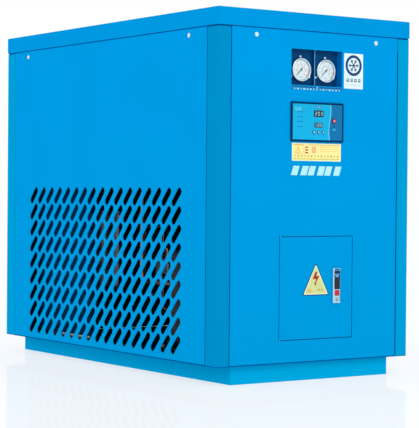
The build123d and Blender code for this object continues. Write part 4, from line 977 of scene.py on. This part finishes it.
def build_button(name, button):
    """A cap in a dark ring, with a hollow top and a plain sign."""
    radius, depth = button.size.x / 2, button.size.y
    piece = Piece(name.replace("button", "key_cap")).at(FRONT, *button.rear)
    if name == "power_button":
        slot, ring, cap = "red_plastic", "red_plastic", "ink_pink"
        inner, step = radius * 0.44, radius - 2.2
    else:
        slot, ring, cap = "button_plastic", "ink_navy", "button_plastic"
        inner, step = radius * 0.62, radius - 1.5
    rim = [(0.4, depth), (radius, depth), (radius, 0.9), (radius - 0.35, 0.4), (radius - 0.9, 0.15)]
    well = [(step, 0.15), (step, 1.0), (0.4, 1.0)]
    raised = [(0.4, 1.1), (step, 1.1), (step, 0.3), (step - 0.4, 0), (inner, 0), (inner, 0.5), (0.4, 0.5)]
    hollow = [(0.4, 0.6), (inner, 0.6), (inner, 0.15), (inner * 0.5, 0.35), (0.4, 0.4)]
    for material, profile in (("ink_navy", rim + well), (ring, raised), (cap, hollow)):
        piece.lathe([(r, depth - down) for r, down in profile], material)
    if name == "power_button":
        for outline in (band(1.5, 2.0, 125, 415, 24), bar(0.5, 2.0, 0, 1.5)):
            piece.prism(outline, depth - 0.4, depth - 0.05, "red_plastic")
    else:
        signs = {"set_button": disc(0.6, segments=16), "up_button": [(-0.8, -0.4), (0.8, -0.4), (0, 0.7)],
                 "down_button": [(0, -0.7), (0.8, 0.4), (-0.8, 0.4)]}
        piece.prism(signs[name], depth - 0.45, depth - 0.2, "ink_blue")
    piece.finish(name.replace("button", "key"), slot, name)


# ---------------- door lock

def build_lock():
    """Chrome frame with a lever, a release button and a key plug; the bolt sits behind it."""
    names = ("lock_frame", "lock_lever", "lock_button", "key_cylinder", "lock_bolt")
    case, lever, button, key, bolt = (box(name) for name in names)
    face = box("electrical_door").low.y
    proud, deep = face - case.low.y, case.high.y - face
    v0 = case.middle.z
    pocket = bar(18, 48, 0, 259 - v0)
    button_hole = bar(button.size.x + 1, button.size.z + 1, 0, button.middle.z - v0)
    key_hole = disc(key.size.x / 2 + 0.05, 0, key.middle.z - v0, 36)
    holes = [pocket, button_hole, key_hole]

    shell = Piece("lock_case").at(FRONT, case.middle.x, face, v0)
    shell.prism(plate(case.size.x, case.size.z, 3.0), 0, proud, "lock_chrome", 1.6, holes)
    body = bar(22, 88)
    shell.prism(body, -6.5, 0, "lock_chrome", 0.0, holes)
    shell.prism(body, -9.0, -6.5, "black_plastic", 0.0, holes[1:])
    shell.prism(body, -deep, -9.0, "lock_chrome", 0.0, holes[2:])
    # A blue patch at the frame's top is painted reflection; the blue strip down its right rim is painted
    # shade and reflection.
    shell.prism(plate(17, 5.5, 1.2, 0.5, 286.4 - v0), proud - 0.2, proud + 0.05, "ink_blue")
    shell.prism(plate(2.4, 84, 0.8, 10.4, 0), proud - 0.3, proud + 0.04, "ink_strip")
    shell.finish("door", "lock_chrome", "lock_frame")

    grip = Piece("lock_grip").at(FRONT, lever.middle.x, face, 257.5)
    grip.prism(plate(17, 43, 1.9), -2.5, 4.6, "black_enamel", 1.3)
    for rib in range(7):
        grip.prism(plate(11, 1.5, 0.6, 0, -17.5 + 3.1 * rib), 4.4, 5.4, "black_enamel", 0.4)
    # A blue patch and two chrome bars on the lever's top: painted reflection and a painted highlight.
    grip.prism(plate(13, 11, 1.5, 0, 14), 4.4, 5.0, "ink_strip", 0.3)
    for lean in (-1, 1):
        grip.prism(spoke(90 - 38 * lean, 0, 9, 1.7, 0, 10), 4.9, 5.42 + 0.03 * lean, "lock_chrome", 0.2)
    grip.at(UP, lever.middle.x, -565, 277)
    grip.tube([(-10.5, 0, 0), (0, 0, 0), (10.5, 0, 0)], 1.5, "pin_steel", 20)
    grip.finish("lever", "black_enamel", "lock_lever")

    push = Piece("lock_push").at(FRONT, button.middle.x, face, button.middle.z)
    size = button.size.x
    dish = plate(size - 5, size - 5, 1.2)
    push.prism(plate(size, size, 1.5), -5, proud, "red_plastic", 1.0, [dish])
    push.prism(dish, -5, proud - 0.7, "red_plastic", 0.3)
    push.finish("release_button", "red_plastic", "lock_button")

    plug = Piece("key_plug").at(FRONT, key.middle.x, face, key.middle.z)
    radius, front = key.size.x / 2, face - key.low.y
    plug.prism(disc(radius, segments=40), -4, front, "lock_chrome", 0.7, [disc(4.7, segments=32)])
    plug.prism(disc(4.7, segments=32), -4, front - 0.5, "pin_steel", 0.3, [bar(1.6, 7.2)])
    # A teal ring round the plug: painted reflection.
    plug.prism(disc(6.2, segments=32), front - 0.2, front - 0.02, "ink_teal", 0.0, [disc(4.9, segments=32)])
    plug.prism(disc(radius, segments=40), face - key.high.y, -4, "lock_chrome")
    plug.finish("key", "lock_chrome", "key_cylinder")

    tongue = Piece("bolt_tongue").at(FRONT, *bolt.rear)
    w, h = bolt.size.x / 2, bolt.size.z / 2
    outline = [(-w, -h), (w - 5, -h), (w, -h + 3), (w, h - 3), (w - 5, h), (-w, h)]
    slots = [plate(7, 7, 0.8, -w + 8), plate(16, 3.2, 1.5, 6)]
    tongue.prism(outline, 0, bolt.size.y, "pin_steel", 0.5, slots)
    tongue.finish("bolt", "pin_steel", "lock_bolt")


# ---------------- switchgear

def build_switchgear():
    rail_box, gear = box("din_rail"), box("contactor")
    rail = Piece("mounting_rail").at(FRONT, *rail_box.rear)
    long_side, deep = rail_box.size.x, rail_box.size.y
    slots = [plate(15, 6, 2.8, -75 + 25 * slot, 0) for slot in range(7)]
    rail.prism(bar(long_side, rail_box.size.z - 8), 0, 1.5, "galvanised_steel", 0.0, slots)
    for side in (-1, 1):
        rail.prism(bar(long_side, 1.5, 0, side * 13.0), 0, deep, "galvanised_steel")
        rail.prism(bar(long_side, 5.2, 0, side * 14.9), deep - 1.3, deep, "galvanised_steel", 0.4)
    rail.finish("root", "galvanised_steel", "din_rail")

    switch = Piece("motor_contactor").at(FRONT, *gear.rear)
    width, height, deep = gear.size.x, gear.size.z, gear.size.y
    switch.prism(plate(width, height - 22, 1.5), 0, 30, "black_plastic", 1.0)
    switch.prism(plate(width, height, 2.0), 8, 44, "black_plastic", 1.4)
    switch.prism(plate(width - 7, 45, 2.0), 44, deep - 2.0, "black_plastic", 1.6)
    switch.prism(plate(10, 14, 1.2), deep - 2.2, deep, "grey_plastic", 0.6)
    switch.prism(plate(28, 7, 0.8, 0, 15), deep - 2.2, deep - 1.8, "label_film")
    for row in (-1, 1):
        for place in range(4):
            u, v = -16.5 + 11 * place, row * 33
            switch.prism(plate(8.4, 12, 1.0, u, v), 44, 47, "black_plastic", 0.5, [disc(3.5, u, v, 24)])
            switch.shift(43.6).screw(3.0, 2.2, "zinc_bright", u, v)
            switch.shift(-43.6)
    switch.finish("root", "black_plastic", "contactor")


# ---------------- refrigeration circuit

def build_compressor():
    """Hermetic compressor: two drawn shells with a weld band, feet, stubs and a terminal cover."""
    x, y = -140.0, -240.0
    corners = [(u, v) for u in (-75, 75) for v in (-75, 75)]
    shell = Piece("compressor_shell").at(UP, x, y, 0)
    profile = [(4, 66), (58, 66), *arc(27, 20, 58, 86, -80, 0), (85, 188), (86, 194), (88, 197), (88, 205)]
    profile += [(86, 208), (85, 212), *arc(45, 45, 40, 300, 0, 84, 8), (22, 344.2), (20, 345), (4, 345)]
    shell.lathe(profile, "compressor_black", 64)
    bolt_holes = [disc(5, u, v, 20) for u, v in corners]
    shell.prism(plate(186, 186, 18), 62, 66, "compressor_black", 1.0, bolt_holes)
    for angle in range(0, 360, 90):
        shell.at(UP, x, y, 0, turn=angle + 45)
        shell.prism(bar(32, 4, 76), 65, 84, "compressor_black", 0.8)
    for facing, place, bore in ((RIGHT, (-40, y, 270), 8.2), (REAR, (x, -140, 230), 9.2)):
        stub = [(1, -30), (14, -30), (14, -16), (11, -14), (11, -1), (bore, 0), (1, 0)]
        shell.at(facing, *place).lathe(stub, "copper_tube", 28)
    shell.at(FRONT, x, -315, 240)
    shell.prism(plate(60, 70, 5), 0, 22, "compressor_black", 1.0)
    shell.prism(plate(56, 66, 5), 22, 34, "black_plastic", 3.0)
    shell.prism(plate(30, 16, 1.5, 0, 12), 33.8, 34.4, "label_film")
    shell.shift(33.9).screw(3.5, 1.1, "zinc_bright", 0, -22)
    shell.at(FRONT, x, -322, 130)
    shell.prism(plate(36, 26, 2), 0, 3.4, "label_film", 0.3)
    shell.finish("root", "compressor_black", "compressor")

    feet = Piece("rubber_feet")
    rubber = [(1, 50), (14, 50), (14, 52.5), (11.5, 54), (11.5, 55), (14, 56.2), (14, 57.6), (11.5, 58.8)]
    rubber += [(11.5, 59.6), (13.4, 60.8), (13, 62), (1, 62)]
    for u, v in corners:
        feet.at(UP, x + u, y + v, 0)
        feet.lathe(rubber, "grommet_rubber", 32)
        feet.prism(disc(4.2, segments=20), 61, 76, "pin_steel")
        feet.prism(disc(10.5, segments=28), 66, 67.4, "zinc_bright", 0.3)
        feet.prism(disc(8.0, segments=6), 67.4, 73, "zinc_bright", 0.8)
    feet.finish("root", "grommet_rubber", "compressor_grommets")


COIL_X, COIL_END, COIL_LOW, COIL_HIGH = 270.0, 233.0, 90.0, 510.0
FIN_PITCH = 3.1
TUBE_PITCH, TUBE_ROWS, TUBE_RADIUS = 42.0, 10, 4.8


def build_condenser():
    """Fine fins between two end plates, tubes with return bends, and two stubs."""
    coil = Piece("condenser_coil").at(UP, COIL_X, 0, 0)
    end = COIL_END
    for fin in range(int(2 * (end - 3) / FIN_PITCH) + 1):
        coil.prism(bar(56, 0.3, 0, fin * FIN_PITCH + 4 - end), COIL_LOW + 2, COIL_HIGH - 2, "fin_aluminium")
    for side in (-1, 1):
        for outline in (bar(60, 1.5, 0, side * end), bar(1.5, 12, -29.2, side * (end + 5.5)),
                        bar(1.5, 12, 29.2, side * (end + 5.5))):
            coil.prism(outline, COIL_LOW, COIL_HIGH, "galvanised_steel", 0.4)
    middle, half = (COIL_LOW + COIL_HIGH) / 2, TUBE_PITCH / 2
    turn = arc(11.5, half, 0, 0, -90, 90, 12)
    for row in (-15, 15):
        for layer in range(TUBE_ROWS):
            coil.at(UP, COIL_X + row, 0, middle + TUBE_PITCH * (layer - (TUBE_ROWS - 1) / 2))
            coil.tube([(0, -end - 1, 0), (0, 0, 0), (0, end + 1, 0)], TUBE_RADIUS, "copper_tube")
            if layer < TUBE_ROWS - 1:
                side = 1 if layer % 2 == 0 else -1
                bend = [(0, side * (end + out), half + up) for out, up in turn]
                coil.tube(bend, TUBE_RADIUS, "copper_tube")
    coil.at(UP, COIL_X, -244, 0)
    coil.lathe([(1, 470), (9, 470), (9, 530), (7.3, 532), (1, 532)], "copper_tube", 24)
    coil.at(REAR, COIL_X, 0, 120)
    coil.lathe([(1, end), (9, end), (9, 270.5), (5.3, 272), (1, 272)], "copper_tube", 24)
    coil.finish("root", "fin_aluminium", "condenser")


FAN_HEIGHT = 300.0
BLADES, BLADE_CAMBER = 5, 0.16
BLADE_SECTIONS = (  # radius, chord, pitch in degrees, thickness
    (32, 56, 40, 2.4), (60, 66, 36, 2.3), (90, 80, 32, 2.2), (120, 92, 29, 2.0), (145, 98, 27, 1.8),
    (158, 92, 26, 1.6), (163, 80, 26, 1.4), (164.8, 62, 26, 1.0),
)


def build_fan():
    """Five cambered, twisted blades on a ribbed hub."""
    rotor = Piece("fan_rotor_blades").at(RIGHT, 0, 0, FAN_HEIGHT)
    hub = [(6.05, 178), (30, 178), (35, 179.5), (36, 182), (36, 210), (34.5, 213), (31, 214), (22, 214)]
    hub += [(20, 210), (12, 210), (11, 214), (6.05, 214)]
    rotor.lathe(hub, "fan_plastic", 48, closed=True)
    rotor.at(UP, 196, 0, FAN_HEIGHT)
    for blade in range(BLADES):
        c, s = polar(1, 360 / BLADES * blade)
        outward, tangent = Vector((0, c, s)), Vector((0, -s, c))
        rings = []
        for radius, chord, pitch, thick in BLADE_SECTIONS:
            c, s = polar(1, pitch)
            along = Vector((s, 0, 0)) + tangent * c
            normal = along.cross(outward)
            upper, lower = [], []
            for step in range(9):
                way = step / 8
                across = chord * (way - 0.5)
                camber = BLADE_CAMBER * chord * way * (1 - way)
                half = thick / 2 * math.sqrt(max(0.03, 1 - (2 * way - 1) ** 2))
                point = outward * math.sqrt(max(1.0, radius ** 2 - (across * 0.9) ** 2)) + along * across
                upper.append(point + normal * (half - camber))
                lower.append(point + normal * (-half - camber))
            rings.append(upper + lower[::-1])
        rotor.loft(rings, "fan_plastic")
    rotor.finish("fan_rotor", "fan_plastic", "fan")


def build_motor():
    """Ribbed fan motor on a wire guard with four flat arms."""
    motor = Piece("guarded_motor").at(RIGHT, 0, 0, FAN_HEIGHT)
    body = [(3, 90), (12, 90), (12, 92), (40, 92), (48, 95), (51, 100)]
    for rib in range(8):
        start = 103 + 6.4 * rib
        body += [(52, start), (52, start + 2.6), (49.5, start + 3.2), (49.5, start + 5.8)]
    body += [(52, 156), (52, 160), (48, 163), (3, 163)]
    motor.lathe(body, "motor_paint", 56)
    motor.prism(plate(30, 16, 2), 89.4, 92.5, "galvanised_steel", 0.4)
    for quarter in range(4):
        motor.prism(spoke(90 * quarter, 30, 184, 14), 164, 170, "motor_paint", 1.2)
    for ring in range(6):
        motor.hoop(68 + 19 * ring, 1.8, 162.5, "zinc_bright", 64)
    motor.prism(disc(5.9, segments=28), 160, 220, "pin_steel", 0.8)
    motor.finish("root", "motor_paint", "fan_motor")


def build_exchanger():
    """Foam-covered exchanger with straps and taped joints, over the bolted separator and the drain."""
    body = box("heat_exchanger")
    foam = Piece("foam_jacket").at(UP, body.middle.x, body.middle.y, 0)
    width, length = body.size.x, body.size.y
    foam.prism(plate(width - 3, length - 3, 17), body.low.z, body.high.z - 1, "foam_insulation", 9.0)
    for height in (480, 622, 764):
        foam.prism(plate(width, length, 18), height, height + 13, "black_plastic", 0.5)
        foam.prism(plate(24, 3.0, 0.8, 60, -length / 2 + 1.5), height - 3, height + 16, "zinc_bright", 0.4)
    for height in (560, 700):
        foam.prism(plate(width - 1.6, length - 1.6, 17.6), height, height + 30, "foam_insulation", 0.5)
    foam.prism(plate(150, 190, 6), body.high.z - 2, body.high.z - 0.2, "foam_insulation", 1.0)
    foam.finish("root", "foam_insulation", "heat_exchanger")

    vessel_box = box("moisture_separator")
    vessel = Piece("separator_vessel").at(UP, vessel_box.middle.x, vessel_box.middle.y, 0)
    profile = [(2, 180), (24, 180), *arc(26, 30, 24, 210, -75, 0), (50, 250), (51, 252), (51, 256)]
    profile += [(50, 258), (50, 396), (55, 397.5), (55, 405), (50, 406), (55, 407), (55, 414.5)]
    profile += [(50, 416), (50, 430), (2, 430)]
    vessel.lathe(profile, "galvanised_steel", 56)
    for bolt in range(8):
        vessel.prism(disc(2.4, *polar(52.2, 45 * bolt + 20), 6), 394, 418, "zinc_bright", 0.3)
    vessel.finish("root", "galvanised_steel", "moisture_separator")

    trap_box = box("auto_drain")
    trap = Piece("drain_trap").at(UP, trap_box.middle.x, trap_box.middle.y, 0)
    profile = [(2, 100), (20, 100), (26, 102), (28, 106)]
    for groove in (118, 136):
        profile += [(28, groove), (26.6, groove + 1), (26.6, groove + 4), (28, groove + 5)]
    profile += [(28, 151), (24, 157), (11, 158), (10, 160), (10, 180), (2, 180)]
    trap.lathe(profile, "black_plastic", 44)
    trap.prism(disc(13, segments=6), 160, 170, "brass_fitting", 0.8)
    trap.at(LEFT, trap_box.middle.x - 24, trap_box.middle.y, 130)
    trap.prism(plate(20, 24, 2), 0, 4, "grey_plastic", 1.0)
    trap.finish("root", "black_plastic", "auto_drain")


def build_drain_valve():
    x, y, z = -70.0, 465.0, 130.0
    valve = Piece("brass_valve").at(REAR, x, 0, z)
    thread = threads(8.9, 0.8, 570.4, 546, 1.8)
    valve.lathe([(0.5, 511), (6, 511), (6, 571), (8.0, 571), *thread, (9, 545), (9, 428), (0.5, 428)],
                "brass_fitting", 36)
    valve.prism(disc(13.5, segments=32), 447, 483, "brass_fitting", 1.0)
    for start in (441, 475):
        valve.prism(disc(15.8, segments=6), start, start + 14, "brass_fitting", 1.2)
    valve.at(UP, x, y, 0)
    valve.prism(disc(8.5, segments=28), z + 8, z + 16, "brass_fitting", 0.8)
    valve.prism(disc(4.9, segments=24), z + 10, z + 23, "brass_fitting")
    valve.prism(disc(7.0, segments=6), z + 22.3, z + 26, "zinc_bright", 0.7)
    valve.finish("root", "brass_fitting", "drain_valve")

    handle_box = box("valve_lever")
    handle = Piece("valve_handle_grip").at(UP, x, y, 0)
    low, high = handle_box.low.z, handle_box.high.z
    handle.prism(disc(10, segments=36), low, high - 0.6, "zinc_bright", 0.4, [disc(5.1, segments=24)])
    handle.prism(plate(9, 20, 1.0, 0, 17), low + 0.3, high - 1.0, "zinc_bright", 0.3)
    grip_centre = handle_box.high.y - y - 20
    handle.prism(plate(11.2, 39, 4.5, 0, grip_centre), low + 0.3, high - 0.3, "red_plastic", 0.9)
    for rib in range(6):
        handle.prism(plate(12, 5.2, 1.4, 0, grip_centre - 14 + 5.6 * rib), low, high, "red_plastic", 0.5)
    handle.finish("valve_handle", "red_plastic", "valve_lever")


def build_ports():
    """Threaded air ports with hexagon collars, and the cable gland."""
    for name in ("air_inlet_pipe", "air_outlet_pipe"):
        port_box = box(name)
        port = Piece(name.replace("pipe", "port")).at(REAR, port_box.middle.x, 0, port_box.middle.z)
        start, end = port_box.low.y, port_box.high.y
        thread = threads(23.9, 1.3, end - 0.6, end - 30, 2.3)
        port.lathe([(21, start), (27, start), (27, end - 2), (25.2, end - 0.2), *thread, (21, end - 31)],
                   "port_steel", 56, closed=True)
        for radius, sides, behind, ahead, edge, bore in (
                (33, 6, 26, 1, 1.4, 26.6), (31, 48, 40, 26, 1.2, 26.6), (29, 48, 8, 0, 1.0, 25.4)):
            hole = disc(bore, segments=48)
            port.prism(disc(radius, segments=sides), end - behind, end - ahead, "port_steel", edge, [hole])
        port.finish("root", "port_steel", name)

    gland_box = box("cable_gland")
    gland = Piece("gland_body").at(REAR, gland_box.middle.x, 0, gland_box.middle.z)
    start, end = gland_box.low.y, gland_box.high.y
    thread = threads(12, 0.7, start + 0.6, start + 16.5, 1.5)
    sleeve = [(8, start), (11.4, start), *thread, (12, end - 0.6), (8, end - 0.4)]
    gland.lathe(sleeve, "black_plastic", closed=True)
    for radius, sides, low, high, edge, bore in (
            (17, 6, start + 17, start + 22, 0.8, 12.1), (16, 6, end - 5.5, end - 2.5, 0.6, 12.1),
            (14.4, 12, end - 2.5, end, 1.0, 8.2)):
        gland.prism(disc(radius, segments=sides), low, high, "black_plastic", edge, [disc(bore)])
    gland.finish("root", "black_plastic", "cable_gland")


def build_filter_drier():
    shell_box = box("filter_drier")
    shell = Piece("drier_shell").at(UP, shell_box.middle.x, shell_box.middle.y, 0)
    low, high = shell_box.low.z, shell_box.high.z
    shell.lathe([(1, low), (7, low), (8, low + 3), *arc(11.6, 14, 8, low + 17, -80, 0), (19.6, high - 17),
                 *arc(11.6, 14, 8, high - 17, 0, 80), (8, high - 3), (7, high), (1, high)], "copper_tube")
    shell.prism(disc(20, segments=44), low + 36, high - 40, "label_film", 0.2)
    shell.prism(disc(20, segments=44), low + 30, low + 34, "ink_blue", 0.2)
    shell.finish("root", "copper_tube", "filter_drier")


def build_partition():
    """Plate behind the rear part of the left grille, its blue darkened as painted shade, on a bright
    flange.
    """
    sheet_box = box("partition_plate")
    x, thick = sheet_box.low.x, 2.0
    front, rear, top = sheet_box.low.y, sheet_box.high.y, sheet_box.high.z
    wall = Piece("partition_sheet").at(UP, 0, 0, 0)

    def block(y_low, y_high, z_low, z_high, material, deep=thick):
        outline = [(x, y_low), (x + deep, y_low), (x + deep, y_high), (x, y_high)]
        wall.prism(outline, z_low, z_high, material, 0.4)

    block(front, front + thick, 50, top, "dark_blue_paint", sheet_box.size.x)
    block(front + thick, rear, 72, top, "dark_blue_paint")
    block(front + thick, 312, 67, 72, "zinc_bright")
    block(312, rear, 50, 72, "black_plastic")
    block(front + thick, 312, 50, 67, "black_plastic")
    wall.finish("root", "dark_blue_paint", "partition_plate")


for build in (add_camera, add_lights, add_floor, dress_cad_nodes,
              build_gauges, build_needles, build_small_screws, build_seam_strips,
              build_labels, build_hazard_triangle, build_controller, build_lock,
              build_switchgear, build_compressor, build_condenser, build_fan, build_motor,
              build_exchanger, build_drain_valve, build_ports, build_filter_drier, build_partition):
    build()
